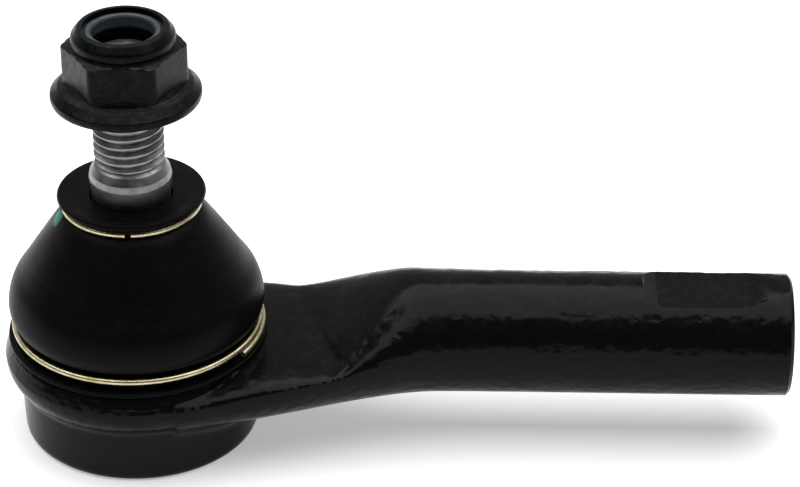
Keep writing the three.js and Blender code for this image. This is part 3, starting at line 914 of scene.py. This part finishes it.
def forging_blank():
    """The forging before machining: an even skin of small faces laid on its exact shape."""
    deck, barrel = mm("deck_height"), mm("barrel_radius")
    outline = [
        (0, 0),
        (barrel - 0.3, 0),
        (barrel, BARREL_TOP),
        (BAND_RADIUS, mm("band_height")),
        (BAND_RADIUS - 1.1, deck),
        (0, deck),
    ]
    made = carve(revolve("housing_piece", outline, segments=64), arm_blank(), "UNION")
    remesh = made.modifiers.new("Skin", "REMESH")
    remesh.mode = "VOXEL"
    remesh.voxel_size = SKIN_STEP * MM
    apply_modifiers(made)
    points = np.empty(len(made.data.vertices) * 3)
    made.data.vertices.foreach_get("co", points)
    points, normals = settle(points.reshape(-1, 3) / MM, forging_distance)
    points = points + normals * hammered(points, normals)[:, None]
    made.data.vertices.foreach_set("co", (points * MM).ravel())
    made.data.update()
    return made


def socket_hollow():
    """Everything inside the socket: the rolled rim's mouth, the seats' bore, the open top."""
    chamber = CHAMBER_RADIUS
    return revolve("socket_hollow", rounded([
        (0, -1),
        (14.4, -1),
        (13.2, 0.5, 0.5),
        (13.2, 1.7),
        (chamber, 1.7),
        (chamber, 19),
        (chamber - 2, 21),
        (11.6, 21),
        (13.4, 25),
        (0, 25),
    ]))


def socket_collar():
    """The grooved collar that the boot's foot grips."""
    wall, lip = COLLAR_RADIUS, COLLAR_LIP_RADIUS
    return revolve("socket_collar", rounded([
        (12, 17),
        (wall, 17),
        (wall, 22, 0.4),
        (lip, 22.6, 0.3),
        (lip, 23.4, 0.3),
        (wall, 24, 0.3),
        (12, 24),
    ]), closed=True)


def end_cutter():
    """Faces the shank's end square and chamfers its edge."""
    edge, past = mm("shank_radius") - END_CHAMFER, SHANK_END + 6
    outline = [(0, SHANK_END), (edge, SHANK_END), (edge + 4, SHANK_END - 4), (edge + 4, past)]
    return revolve("end_cutter", [*outline, (0, past)], axis="X")


def extruded_across(name, outline, half_width):
    """A closed outline of (x, z) points, carried from one side to the other along Y."""
    count = len(outline)
    points = [(x, side, z) for side in (-half_width, half_width) for x, z in outline]
    faces = [tuple(range(count)), tuple(range(count, 2 * count))]
    for i in range(count):
        k = (i + 1) % count
        faces.append((i, k, count + k, count + i))
    return mesh_object(name, points, faces)


def flat_cutter(side):
    """Cuts one spanner flat: a steep wall, a level floor and a shallow run-out to the end."""
    radius, axis = mm("shank_radius"), mm("shank_height")
    floor = radius - FLAT_DEPTH
    outline = rounded([
        (FLAT_START - 4.4, radius + 2),
        (FLAT_START - 2.3, radius - 0.2, 0.6),
        (FLAT_START, floor, 0.7),
        (FLAT_END - 1, floor, 6.0),
        (SHANK_END + 3, radius + 0.4),
        (SHANK_END + 3, radius + 2),
    ])
    return extruded_across("flat_cutter", [(x, axis + side * h) for x, h in outline], 15)


def shank_bore_cutter():
    """The drilled and tapped hole in the shank, its thread along +X."""
    tool = grow("bore_thread", screw_thread(), {
        "Foot": SHANK_END - BORE_DEPTH,
        "Top": SHANK_END + 1,
        "Crest": BORE_ROOT,
        "Root": BORE_RADIUS,
        "Pitch": mm("thread_pitch"),
        "Chamfer": 1.0,
        "Turns": math.ceil((BORE_DEPTH + 1) / mm("thread_pitch")),
    })
    turn = Matrix(((0, 0, 1, 0), (1, 0, 0, 0), (0, 1, 0, mm("shank_height") * MM), (0, 0, 0, 1)))
    tool.data.transform(turn)
    inner, outer, foot = SHANK_END - 1, SHANK_END + 1, SHANK_END - BORE_DEPTH
    mouth = [(0, inner), (BORE_RADIUS, inner), (BORE_ROOT + 1, outer), (0, outer)]
    tip = [(0, foot - 3.4), (BORE_RADIUS - 0.2, foot), (0, foot + 1)]
    carve(tool, revolve("bore_mouth", mouth, axis="X"), "UNION")
    return carve(tool, revolve("bore_tip", tip, axis="X"), "UNION")


def build_housing():
    """The forging, then its machining in the order of the shop: socket, end, bore and flats."""
    made = forging_blank()
    carve(made, socket_collar(), "UNION")
    carve(made, socket_hollow())
    carve(made, end_cutter())
    carve(made, shank_bore_cutter())
    for side in (1, -1):
        carve(made, flat_cutter(side))
    smooth_shade(made, 28)
    place(made, "socket", black_forging(), "black_forging", "housing")


# ------------------------------------------------------------------ inside the socket

BALL_CLEARANCE = 0.3
SEAT_RADIUS = 15.3
WASHER_RADII = (9.6, 14.8)
WASHER_THICKNESS = 0.5
PLATE_THICKNESS = 1.5


def build_cover_plate():
    """The pressed plate: a rim under the housing's rolled lip and a dished middle."""
    rim, floor, top = PLATE_RADIUS, PLATE_TOP - PLATE_THICKNESS, PLATE_TOP
    made = revolve("cover_plate_piece", rounded([
        (0, 0.1),
        (7.6, 0.1, 0.8),
        (9.6, floor, 0.8),
        (rim - 0.1, floor, 0.2),
        (rim - 0.1, top, 0.3),
        (9.0, top, 0.8),
        (7.2, PLATE_THICKNESS, 0.8),
        (0, PLATE_THICKNESS),
    ]))
    place(made, "socket", plated_steel(), "plated_steel", "cover_plate")


def build_preload_washer():
    """A shallow cone of spring strip."""
    low, high = node_span("preload_washer")[1:]
    inner, outer = WASHER_RADII
    made = revolve("preload_washer_piece", rounded([
        (inner, high - WASHER_THICKNESS, 0.1),
        (outer, low, 0.1),
        (outer, low + WASHER_THICKNESS, 0.1),
        (inner, high, 0.1),
    ]), closed=True)
    place(made, "socket", spring_steel(), "spring_steel", "preload_washer")


def seat_cup(radius, start, end):
    """Points of the ball's cup from one angle below or above the middle to another."""
    turn = np.radians(np.linspace(start, end, 24))
    return [(radius * math.cos(a), BALL_HEIGHT + radius * math.sin(a)) for a in turn]


def build_ball_seats():
    """The lower and the upper half shell, their cups clear of the ball by a film of grease."""
    cup, outer = BALL_RADIUS + BALL_CLEARANCE, SEAT_RADIUS
    lower_foot = node_span("lower_ball_seat")[1]
    upper_top = node_span("upper_ball_seat")[2]
    lower = revolve("lower_ball_seat_piece", [
        (7.4, lower_foot), (outer - 0.4, lower_foot), (outer, lower_foot + 0.4),
        (outer, BALL_HEIGHT - 0.2), *seat_cup(cup, -1, -49.1),
    ], closed=True)
    upper = revolve("upper_ball_seat_piece", [
        (outer, BALL_HEIGHT + 0.2), (outer, 18.8), (outer - 1.9, upper_top),
        (10.6, upper_top), *seat_cup(cup, 25, 1),
    ], closed=True)
    finish = seat_plastic()
    place(lower, "socket", finish, "seat_plastic", "lower_ball_seat")
    place(upper, "socket", finish, "seat_plastic", "upper_ball_seat")


# ------------------------------------------------------------------ boot, its rings and its bush

BOOT_WAIST = 33.6       # where the boot is split between the stud's two swings
UPPER_RING_SPAN = (-85.0, 270.0)
LOWER_RING_SPAN = (-29.0, 375.0)
RING_SPREAD = 0.45
RING_DROP = 1.06
BUSH_TOP = 43.9
BUSH_RADIUS = 7.9


def boot_wall():
    """The outside and the inside of the boot's wall, each from the foot up."""
    groove = mm("lower_ring_radius") - mm("lower_wire_radius") - 0.2
    ring = mm("lower_ring_height")
    outside = np.vstack([
        rounded([
            (18.6, BOOT_FOOT), (22.25, BOOT_FOOT, 0.2), (22.2, BOOT_FOOT + 0.6, 0.4),
            (groove, BOOT_FOOT + 0.75, 0.3), (groove, ring + 0.9, 0.8), (21.2, ring + 1.8),
        ]),
        flowing([
            (21.2, ring + 1.8), (21.8, 24.2), (21.75, 26.2), (20.9, 28.9), (19.2, 31.5),
            (16.65, 35.4), (14.3, 38.9), (12.1, 41.9), (10.9, 42.9),
        ])[1:],
        rounded([
            (10.9, 42.9), (10.55, 43.2, 0.2), (10.55, 44.1, 0.4), (12.2, 44.6, 0.5),
            (12.6, 45.2, 0.4), (12.3, 45.8, 0.4), (11.6, 45.75, 0.5), (9.6, 45.35, 1.2),
            (6.9, 45.25, 0.3), (6.9, 44.4, 0.2), (8.0, 44.1),
        ])[1:],
    ])
    inside = flowing([
        (18.6, 23.0), (19.6, 23.6), (20.1, 25.4), (19.4, 28), (17.6, 31),
        (13, 37), (9.8, 41.2), (8.4, 41.7), (8.0, 42.2),
    ])
    return finer(outside, 0.25), finer(inside, 0.5)


def split_at(outline, height):
    """An upward outline in two, both with the point where it crosses the height."""
    above = int(np.argmax(outline[:, 1] > height))
    share = (height - outline[above - 1, 1]) / (outline[above, 1] - outline[above - 1, 1])
    crossing = lerp(outline[above - 1], outline[above], share)
    return np.vstack([outline[:above], crossing]), np.vstack([crossing, outline[above:]])


def build_dust_boot():
    """The boot in two closed lengths, split at its waist."""
    outside, inside = boot_wall()
    outer_low, outer_high = split_at(outside, BOOT_WAIST)
    inner_low, inner_high = split_at(inside, BOOT_WAIST)
    finish = boot_rubber()
    tongue = [outer_low[-1] + (-0.04, 0.1), inner_low[-1] + (0.04, 0.1)]
    low_wall = np.vstack([outer_low, tongue, inner_low[::-1]])
    high_wall = np.vstack([outer_high, inner_high[::-1]])
    skirt = revolve("dust_boot_skirt", low_wall, closed=True, sharp=60)
    crown = revolve("dust_boot_crown", high_wall, closed=True, sharp=60)
    place(skirt, None, finish, "boot_rubber", "dust_boot")
    place(crown, None, finish, "boot_rubber", "dust_boot")
    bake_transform(skirt)
    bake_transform(crown)


def wire_ring():
    """A turn of round wire. A strand that would meet its other end starts further out and
    lower, and joins the plain circle past it."""
    name = "Wire Ring"
    if name in bpy.data.node_groups:
        return bpy.data.node_groups[name]
    inputs = [
        ("Radius", FLOAT, 20.0), ("Height", FLOAT, 20.0), ("Wire Radius", FLOAT, 0.6),
        ("From", FLOAT, 0.0), ("To", FLOAT, 360.0), ("Spread", FLOAT, 0.0), ("Drop", FLOAT, 0.0),
        ("Hold", FLOAT, 60.0), ("Fade", FLOAT, 120.0), ("Steps", INTEGER, 240),
        ("Sides", INTEGER, 16), ("Material", MATERIAL, None),
    ]
    tree, given, out = new_group(name, "GeometryNodeTree", inputs, [("Geometry", GEOMETRY)])
    line = tree.add("GeometryNodeMeshLine", {"Count": given["Steps"]})
    span = tree.math("SUBTRACT", given["To"], given["From"])
    index = tree.add("GeometryNodeInputIndex").outputs[0]
    share = tree.math("DIVIDE", index, tree.math("SUBTRACT", given["Steps"], 1.0))
    gone = tree.math("MULTIPLY", share, span)
    apart = tree.remap(gone, given["Hold"], given["Fade"], 1.0, 0.0)
    radius = tree.math("MULTIPLY_ADD", apart, given["Spread"], given["Radius"])
    height = tree.math("SUBTRACT", given["Height"], tree.math("MULTIPLY", apart, given["Drop"]))
    turn = tree.math("RADIANS", tree.math("ADD", gone, given["From"]))
    laid = tree.lay_round(line.outputs[0], radius, turn, height)
    curve = tree.add("GeometryNodeMeshToCurve", {"Mesh": laid})
    section = tree.add("GeometryNodeCurvePrimitiveCircle", {
        "Resolution": given["Sides"],
        "Radius": tree.math("MULTIPLY", given["Wire Radius"], MM),
    })
    swept = tree.add("GeometryNodeCurveToMesh", {
        "Curve": curve.outputs[0],
        "Profile Curve": section.outputs[0],
        "Fill Caps": True,
    })
    finish_tree(tree, swept.outputs[0], given, out)
    return tree.tree


def finish_tree(tree, geometry, given, out):
    """Ends a geometry tree: what it made is realized and takes its material."""
    real = tree.add("GeometryNodeRealizeInstances", {"Geometry": geometry})
    painted = tree.add(
        "GeometryNodeSetMaterial", {"Geometry": real.outputs[0], "Material": given["Material"]}
    )
    tree.feed(out["Geometry"], painted.outputs[0])


def build_boot_rings():
    """The upper ring, open at its front, and the lower ring, whose ends lie side by side."""
    finish = yellow_wire()
    upper = grow("upper_boot_ring_piece", wire_ring(), {
        "Radius": mm("upper_ring_radius"),
        "Height": RING_GAP_HEIGHT,
        "Wire Radius": mm("upper_wire_radius"),
        "Material": finish,
        "From": UPPER_RING_SPAN[0],
        "To": UPPER_RING_SPAN[1],
        "Steps": 200,
    })
    lower = grow("lower_boot_ring_piece", wire_ring(), {
        "Radius": mm("lower_ring_radius"),
        "Height": mm("lower_ring_height"),
        "Wire Radius": mm("lower_wire_radius"),
        "Material": finish,
        "From": LOWER_RING_SPAN[0],
        "To": LOWER_RING_SPAN[1],
        "Spread": RING_SPREAD,
        "Drop": RING_DROP,
        "Hold": 40.0,
        "Fade": 110.0,
        "Steps": 300,
    })
    for ring in (upper, lower):
        smooth_shade(ring, 50)
    place(upper, "boot_lip", finish, "yellow_wire", "upper_boot_ring")
    place(lower, "socket", finish, "yellow_wire", "lower_boot_ring")


def build_boot_bush():
    """The plain ring in the boot's lip, a loose fit on the stud's shoulder."""
    low, high = node_span("boot_bush")[1], BUSH_TOP
    bore, outer = mm("shoulder_radius") + 0.25, BUSH_RADIUS
    made = revolve("boot_bush_piece", rounded([
        (bore, low, 0.15), (outer, low, 0.15), (outer, high, 0.2), (bore, high, 0.2), (bore, low),
    ])[:-1], closed=True)
    place(made, "boot_lip", bush_plastic(), "bush_plastic", "boot_bush")


# ------------------------------------------------------------------ stud

NECK_RADIUS = 6.0
CAP_SLOPE = 6.0


def screw_thread():
    """A threaded rod along Z from one sheared sheet: each step round the axis is raised by its
    share of the pitch, so that the sheet's last column meets its first one pitch up."""
    name = "Screw Thread"
    if name in bpy.data.node_groups:
        return bpy.data.node_groups[name]
    inputs = [
        ("Foot", FLOAT, 0.0), ("Top", FLOAT, 20.0), ("Crest", FLOAT, 6.0), ("Root", FLOAT, 5.1),
        ("Pitch", FLOAT, 1.5), ("Chamfer", FLOAT, 0.8), ("Turns", INTEGER, 12),
        ("Columns", INTEGER, 72), ("Rows", INTEGER, 12), ("Material", MATERIAL, None),
    ]
    tree, given, out = new_group(name, "GeometryNodeTree", inputs, [("Geometry", GEOMETRY)])
    spare = 4.0
    turns = tree.math("ADD", given["Turns"], spare)
    rows = tree.math("MULTIPLY", turns, given["Rows"])
    sheet = tree.add("GeometryNodeMeshGrid", {
        "Size X": 1.0,
        "Size Y": 1.0,
        "Vertices X": tree.math("ADD", given["Columns"], 1.0),
        "Vertices Y": tree.math("ADD", rows, 1.0),
    })
    position = tree.add("GeometryNodeInputPosition").outputs[0]
    place_of = tree.add("ShaderNodeSeparateXYZ", {0: position})
    round_share = tree.math("ADD", place_of.outputs[0], 0.5)
    pitches = tree.math("MULTIPLY", tree.math("ADD", place_of.outputs[1], 0.5), turns)
    wave = tree.math("MULTIPLY", tree.math("PINGPONG", pitches, 0.5), 2.0)
    crest = tree.remap(wave, 1 / 6, 5 / 6, kind="LINEAR")
    depth = tree.math("SUBTRACT", given["Crest"], given["Root"])
    radius = tree.math("MULTIPLY_ADD", crest, depth, given["Root"])
    rise = tree.math("SUBTRACT", tree.math("ADD", pitches, round_share), spare / 2 + 0.5)
    height = tree.math("MULTIPLY_ADD", rise, given["Pitch"], given["Foot"])
    below = tree.math("SUBTRACT", given["Foot"], height)
    above = tree.math("SUBTRACT", height, given["Top"])
    past = tree.math("MAXIMUM", below, above)
    start = tree.math("SUBTRACT", given["Crest"], given["Chamfer"])
    tapered = tree.math("SUBTRACT", start, past)
    radius = tree.math("MINIMUM", radius, tapered)
    excess = tree.math("MAXIMUM", past, 0.0)
    radius = tree.math("MAXIMUM", tree.math("MULTIPLY_ADD", excess, -CAP_SLOPE, radius), 0.0)
    held = tree.math("MINIMUM", tree.math("MAXIMUM", height, given["Foot"]), given["Top"])
    turn = tree.math("MULTIPLY", round_share, 2 * math.pi)
    laid = tree.lay_round(sheet.outputs[0], radius, turn, held)
    closed = tree.add("GeometryNodeMergeByDistance", {"Geometry": laid, "Distance": 1e-6})
    finish_tree(tree, closed.outputs[0], given, out)
    return tree.tree


def stud_blank():
    """The ball, its neck, the shoulder above the boot and the flare into the thread."""
    shoulder, edge = mm("shoulder_radius"), mm("shoulder_height")
    root = mm("thread_radius") - THREAD_DEPTH
    neck = NECK_RADIUS
    neck_angle = math.degrees(math.acos(neck / BALL_RADIUS))
    ball = [(0, BALL_FOOT), *seat_cup(BALL_RADIUS, -86, -60), *seat_cup(BALL_RADIUS, -58, 0)]
    ball += seat_cup(BALL_RADIUS, 2, neck_angle)
    leave = ball[-1][1]
    shaft = rounded([
        ball[-1],
        (neck, leave + 2.5, 1.5),
        (shoulder - 0.45, 38, 1.0),
        (shoulder - 0.4, 44.5, 1.0),
        (shoulder, edge, 0.25),
        (shoulder - 0.25, edge + 1.1, 0.6),
        (6.0, THREAD_FOOT - 0.5, 0.5),
        (root, THREAD_FOOT + 0.3, 0.3),
        (root - 0.2, THREAD_FOOT + 0.5),
    ])[1:]
    outline = np.vstack([ball, shaft, [(0, THREAD_FOOT + 0.5)]])
    return revolve("ball_stud_piece", outline, segments=128)


def build_ball_stud():
    """The turned stud with the rolled thread joined to it."""
    made = stud_blank()
    finish = bare_steel()
    thread = grow("stud_thread", screw_thread(), {
        "Foot": THREAD_FOOT - 0.6,
        "Top": STUD_TOP,
        "Crest": mm("thread_radius"),
        "Root": mm("thread_radius") - THREAD_DEPTH,
        "Pitch": mm("thread_pitch"),
        "Chamfer": 1.0,
        "Turns": math.ceil((STUD_TOP - THREAD_FOOT + 0.6) / mm("thread_pitch")),
        "Material": finish,
    })
    carve(made, thread, "UNION")
    smooth_shade(made, 30)
    place(made, "stud", finish, "bare_steel", "ball_stud")


# ------------------------------------------------------------------ nut and its insert

COLLAR_HEIGHT = 3.1
NUT_COLLAR_RADIUS = 8.65
NUT_BODY_RADIUS = 8.85
NUT_BORE_RADIUS = 6.3
INSERT_SEAT = 72.9
INSERT_HOLE_RADIUS = 5.2
INSERT_RADIUS = 7.25


def nut_outline():
    """The nut's section: flange, hexagon, rolled collar, the insert's groove and the bore."""
    foot, top, hexagon_top = NUT_FOOT, NUT_TOP, NUT_TOP - COLLAR_HEIGHT
    collar, body, bore = NUT_COLLAR_RADIUS, NUT_BODY_RADIUS, NUT_BORE_RADIUS
    outside = rounded([
        (7.7, foot),
        (FLANGE_RADIUS - 0.2, foot, 0.4),
        (FLANGE_RADIUS, foot + 0.7, 0.3),
        (FLANGE_RADIUS - 0.05, foot + 1.4, 0.4),
        (11.2, foot + 2.7, 0.8),
        (10.2, foot + 3.2, 0.6),
        (body, foot + 3.5, 0.2),
        (body, hexagon_top, 0.1),
        (collar - 0.2, hexagon_top + 0.05, 0.15),
        (collar, hexagon_top + 0.55, 0.4),
        (collar, top - 1.5, 1.2),
        (7.5, top - 0.05, 0.8),
        (6.65, top, 0.2),
        (6.6, top - 0.7, 0.2),
        (7.5, top - 0.95),
    ])
    inside = rounded([
        (7.5, top - 0.95),
        (7.5, INSERT_SEAT),
        (bore + 0.6, INSERT_SEAT),
        (bore, INSERT_SEAT - 0.6),
        (bore, foot + 0.8),
        (7.7, foot),
    ])
    return np.vstack([finer(outside, 0.22), inside[1:-1]])


def hexagon_shape(turn, radius, height):
    """Raises the outside of the nut to its hexagon, chamfered at the corners' tops."""
    hexagon_top = NUT_TOP - COLLAR_HEIGHT
    inner = mm("hexagon") / 2
    sixth = math.pi / 3
    off = np.mod(turn - sizes().nut_turn + sixth / 2, sixth) - sixth / 2
    corner = inner / math.cos(sixth / 2) - 0.2
    flat = joined(inner / np.cos(off), corner, 0.2)
    chamfer = inner - 0.3 + (hexagon_top - height) * 2.8
    raised = met(radius, joined(flat, chamfer, 0.15), 0.15)
    in_height = (height > NUT_FOOT + 2.4) & (height < hexagon_top + 0.01)
    outside = in_height & (radius > NUT_BODY_RADIUS - 0.05)
    return np.where(outside, np.maximum(raised, radius), radius)


def build_lock_nut():
    """The flanged nut, turned all round with its hexagon raised from the same section."""
    made = revolve(
        "lock_nut_piece", nut_outline(), closed=True, segments=240, shape=hexagon_shape, sharp=32
    )
    place(made, "nut", black_nut(), "black_nut", "lock_nut")


def build_nut_insert():
    """The nylon ring, its mouth rounded and its lip pressed down by the rolled collar."""
    low, high = node_span("nut_insert")[1:]
    hole = INSERT_HOLE_RADIUS
    made = revolve("nut_insert_piece", rounded([
        (hole + 0.5, low, 0.2),
        (INSERT_RADIUS, low, 0.3),
        (INSERT_RADIUS, high - 0.8, 0.3),
        (6.3, high - 0.75, 0.2),
        (6.2, high - 0.35, 0.2),
        (hole + 0.3, high - 0.35, 0.3),
        (hole, high - 0.8, 0.3),
        (hole, low + 0.7, 0.3),
        (hole + 0.5, low),
    ])[:-1], closed=True)
    place(made, "nut_carrier", insert_nylon(), "insert_nylon", "nut_insert")


# ------------------------------------------------------------------ stage

FLOOR_REACH = 4000.0
DARK_FRONT, PALE_BACK, SEEN_PAPER = 0.02, 0.42, 0.8
LIGHT_PLACE = (0.05, 0.15, 1.6)
LIGHT_AIM = (0.05, 0.05, 0)
LIGHT_WIDTH, LIGHT_DEPTH, LIGHT_POWER = 3.4, 2.2, 68
CAMERA_ELEVATION = math.radians(31.06)
CAMERA_AZIMUTH = math.radians(1.476)
CAMERA_DISTANCE = 520.5
CAMERA_AIM_OFF = (0.4, 10.5, -8.8)
CAMERA_LENS = 135


def build_floor():
    half = FLOOR_REACH
    corners = [(-half, -half, 0), (half, -half, 0), (half, half, 0), (-half, half, 0)]
    made = mesh_object("studio_floor_piece", corners, [(0, 1, 2, 3)])
    made.data.materials.append(studio_floor())


def soft_light(name, place_m, aim_m, width, depth, power):
    """A rectangular soft light that the camera does not see."""
    data = bpy.data.lights.new(name, "AREA")
    data.shape = "RECTANGLE"
    data.size, data.size_y = width, depth
    data.energy = power
    made = bpy.data.objects.new(name, data)
    bpy.context.scene.collection.objects.link(made)
    made.location = place_m
    made.rotation_euler = (Vector(aim_m) - Vector(place_m)).to_track_quat("-Z", "Y").to_euler()
    made.visible_camera = False


def studio_world():
    """A dim room, darker in front than behind, that the camera sees as pale paper."""
    world = bpy.data.worlds.new("studio")
    world.use_nodes = True
    bpy.context.scene.world = world
    tree = Tree(world.node_tree)
    background = world.node_tree.nodes["Background"]
    direction = tree.add("ShaderNodeTexCoord").outputs["Generated"]
    towards_back = tree.add("ShaderNodeSeparateXYZ", {0: direction}).outputs["Y"]
    level = tree.remap(towards_back, -0.35, 0.6, DARK_FRONT, PALE_BACK)
    seen = tree.add("ShaderNodeLightPath").outputs["Is Camera Ray"]
    tree.feed(background.inputs["Strength"], tree.math("MULTIPLY_ADD", seen, SEEN_PAPER, level))
    background.inputs["Color"].default_value = (1, 1, 1, 1)


def studio_camera():
    """A long lens from the front and above, turned a little towards the threaded end."""
    aim = (CAD_BOX[0] + CAD_BOX[1]) / 2 + Vector(CAMERA_AIM_OFF) * MM
    back = Vector((
        math.sin(CAMERA_AZIMUTH) * math.cos(CAMERA_ELEVATION),
        -math.cos(CAMERA_AZIMUTH) * math.cos(CAMERA_ELEVATION),
        math.sin(CAMERA_ELEVATION),
    ))
    camera = bpy.data.cameras.new("studio_camera")
    camera.lens = CAMERA_LENS
    camera.clip_end = 50
    made = bpy.data.objects.new("studio_camera", camera)
    bpy.context.scene.collection.objects.link(made)
    made.location = aim + back * CAMERA_DISTANCE * MM
    made.rotation_euler = (-back).to_track_quat("-Z", "Y").to_euler()
    bpy.context.scene.camera = made


def build_stage():
    build_floor()
    size = (LIGHT_WIDTH, LIGHT_DEPTH)
    soft_light("overhead_light", LIGHT_PLACE, LIGHT_AIM, *size, LIGHT_POWER)
    studio_world()
    studio_camera()
    bpy.context.scene.view_settings.view_transform = "Standard"


# ------------------------------------------------------------------ operators

class MESH_OT_tie_rod_housing(bpy.types.Operator):
    """Forges, machines and paints the housing"""

    bl_idname = "mesh.tie_rod_housing"
    bl_label = "Housing"

    def execute(self, context):
        build_housing()
        return {"FINISHED"}


class MESH_OT_tie_rod_cover_plate(bpy.types.Operator):
    """Presses the plate that shuts the socket from below"""

    bl_idname = "mesh.tie_rod_cover_plate"
    bl_label = "Cover Plate"

    def execute(self, context):
        build_cover_plate()
        return {"FINISHED"}


class MESH_OT_tie_rod_preload_washer(bpy.types.Operator):
    """Forms the spring washer under the lower seat"""

    bl_idname = "mesh.tie_rod_preload_washer"
    bl_label = "Preload Washer"

    def execute(self, context):
        build_preload_washer()
        return {"FINISHED"}


class MESH_OT_tie_rod_ball_seats(bpy.types.Operator):
    """Moulds the two plastic seats round the ball"""

    bl_idname = "mesh.tie_rod_ball_seats"
    bl_label = "Ball Seats"

    def execute(self, context):
        build_ball_seats()
        return {"FINISHED"}


class MESH_OT_tie_rod_dust_boot(bpy.types.Operator):
    """Moulds the rubber boot in two lengths"""

    bl_idname = "mesh.tie_rod_dust_boot"
    bl_label = "Dust Boot"

    def execute(self, context):
        build_dust_boot()
        return {"FINISHED"}


class MESH_OT_tie_rod_boot_rings(bpy.types.Operator):
    """Winds the two wire rings that hold the boot"""

    bl_idname = "mesh.tie_rod_boot_rings"
    bl_label = "Boot Rings"

    def execute(self, context):
        build_boot_rings()
        return {"FINISHED"}


class MESH_OT_tie_rod_boot_bush(bpy.types.Operator):
    """Moulds the bush in the boot's lip"""

    bl_idname = "mesh.tie_rod_boot_bush"
    bl_label = "Boot Bush"

    def execute(self, context):
        build_boot_bush()
        return {"FINISHED"}


class MESH_OT_tie_rod_ball_stud(bpy.types.Operator):
    """Turns the ball stud and rolls its thread"""

    bl_idname = "mesh.tie_rod_ball_stud"
    bl_label = "Ball Stud"

    def execute(self, context):
        build_ball_stud()
        return {"FINISHED"}


class MESH_OT_tie_rod_lock_nut(bpy.types.Operator):
    """Forms the flanged lock nut"""

    bl_idname = "mesh.tie_rod_lock_nut"
    bl_label = "Lock Nut"

    def execute(self, context):
        build_lock_nut()
        return {"FINISHED"}


class MESH_OT_tie_rod_nut_insert(bpy.types.Operator):
    """Moulds the nut's nylon insert"""

    bl_idname = "mesh.tie_rod_nut_insert"
    bl_label = "Nut Insert"

    def execute(self, context):
        build_nut_insert()
        return {"FINISHED"}


class SCENE_OT_tie_rod_stage(bpy.types.Operator):
    """Sets the floor, the lights and the camera"""

    bl_idname = "scene.tie_rod_stage"
    bl_label = "Studio Stage"

    def execute(self, context):
        build_stage()
        return {"FINISHED"}


OPERATORS = (
    MESH_OT_tie_rod_housing,
    MESH_OT_tie_rod_cover_plate,
    MESH_OT_tie_rod_preload_washer,
    MESH_OT_tie_rod_ball_seats,
    MESH_OT_tie_rod_dust_boot,
    MESH_OT_tie_rod_boot_rings,
    MESH_OT_tie_rod_boot_bush,
    MESH_OT_tie_rod_ball_stud,
    MESH_OT_tie_rod_lock_nut,
    MESH_OT_tie_rod_nut_insert,
    SCENE_OT_tie_rod_stage,
)


class VIEW3D_PT_tie_rod_end(bpy.types.Panel):
    """Lists the pieces, their sizes and their colours"""

    bl_idname = "VIEW3D_PT_tie_rod_end"
    bl_label = "Tie Rod End"
    bl_space_type = "VIEW_3D"
    bl_region_type = "UI"
    bl_category = "Tie Rod End"

    def draw(self, context):
        column = self.layout.column(align=True)
        for settings in (context.scene.tie_rod_sizes, context.scene.tie_rod_colours):
            for name in settings.bl_rna.properties.keys():
                if name not in ("rna_type", "name"):
                    column.prop(settings, name)
            column.separator()
        for operator in OPERATORS:
            column.operator(operator.bl_idname)


CLASSES = (TieRodSizes, TieRodColours, *OPERATORS, VIEW3D_PT_tie_rod_end)


def register():
    for item in CLASSES:
        bpy.utils.register_class(item)
    bpy.types.Scene.tie_rod_sizes = bpy.props.PointerProperty(type=TieRodSizes)
    bpy.types.Scene.tie_rod_colours = bpy.props.PointerProperty(type=TieRodColours)


def unregister():
    del bpy.types.Scene.tie_rod_colours
    del bpy.types.Scene.tie_rod_sizes
    for item in reversed(CLASSES):
        bpy.utils.unregister_class(item)


def main():
    register()
    for operator in OPERATORS:
        family, name = operator.bl_idname.split(".")
        getattr(getattr(bpy.ops, family), name)()


if __name__ == "__main__":
    main()
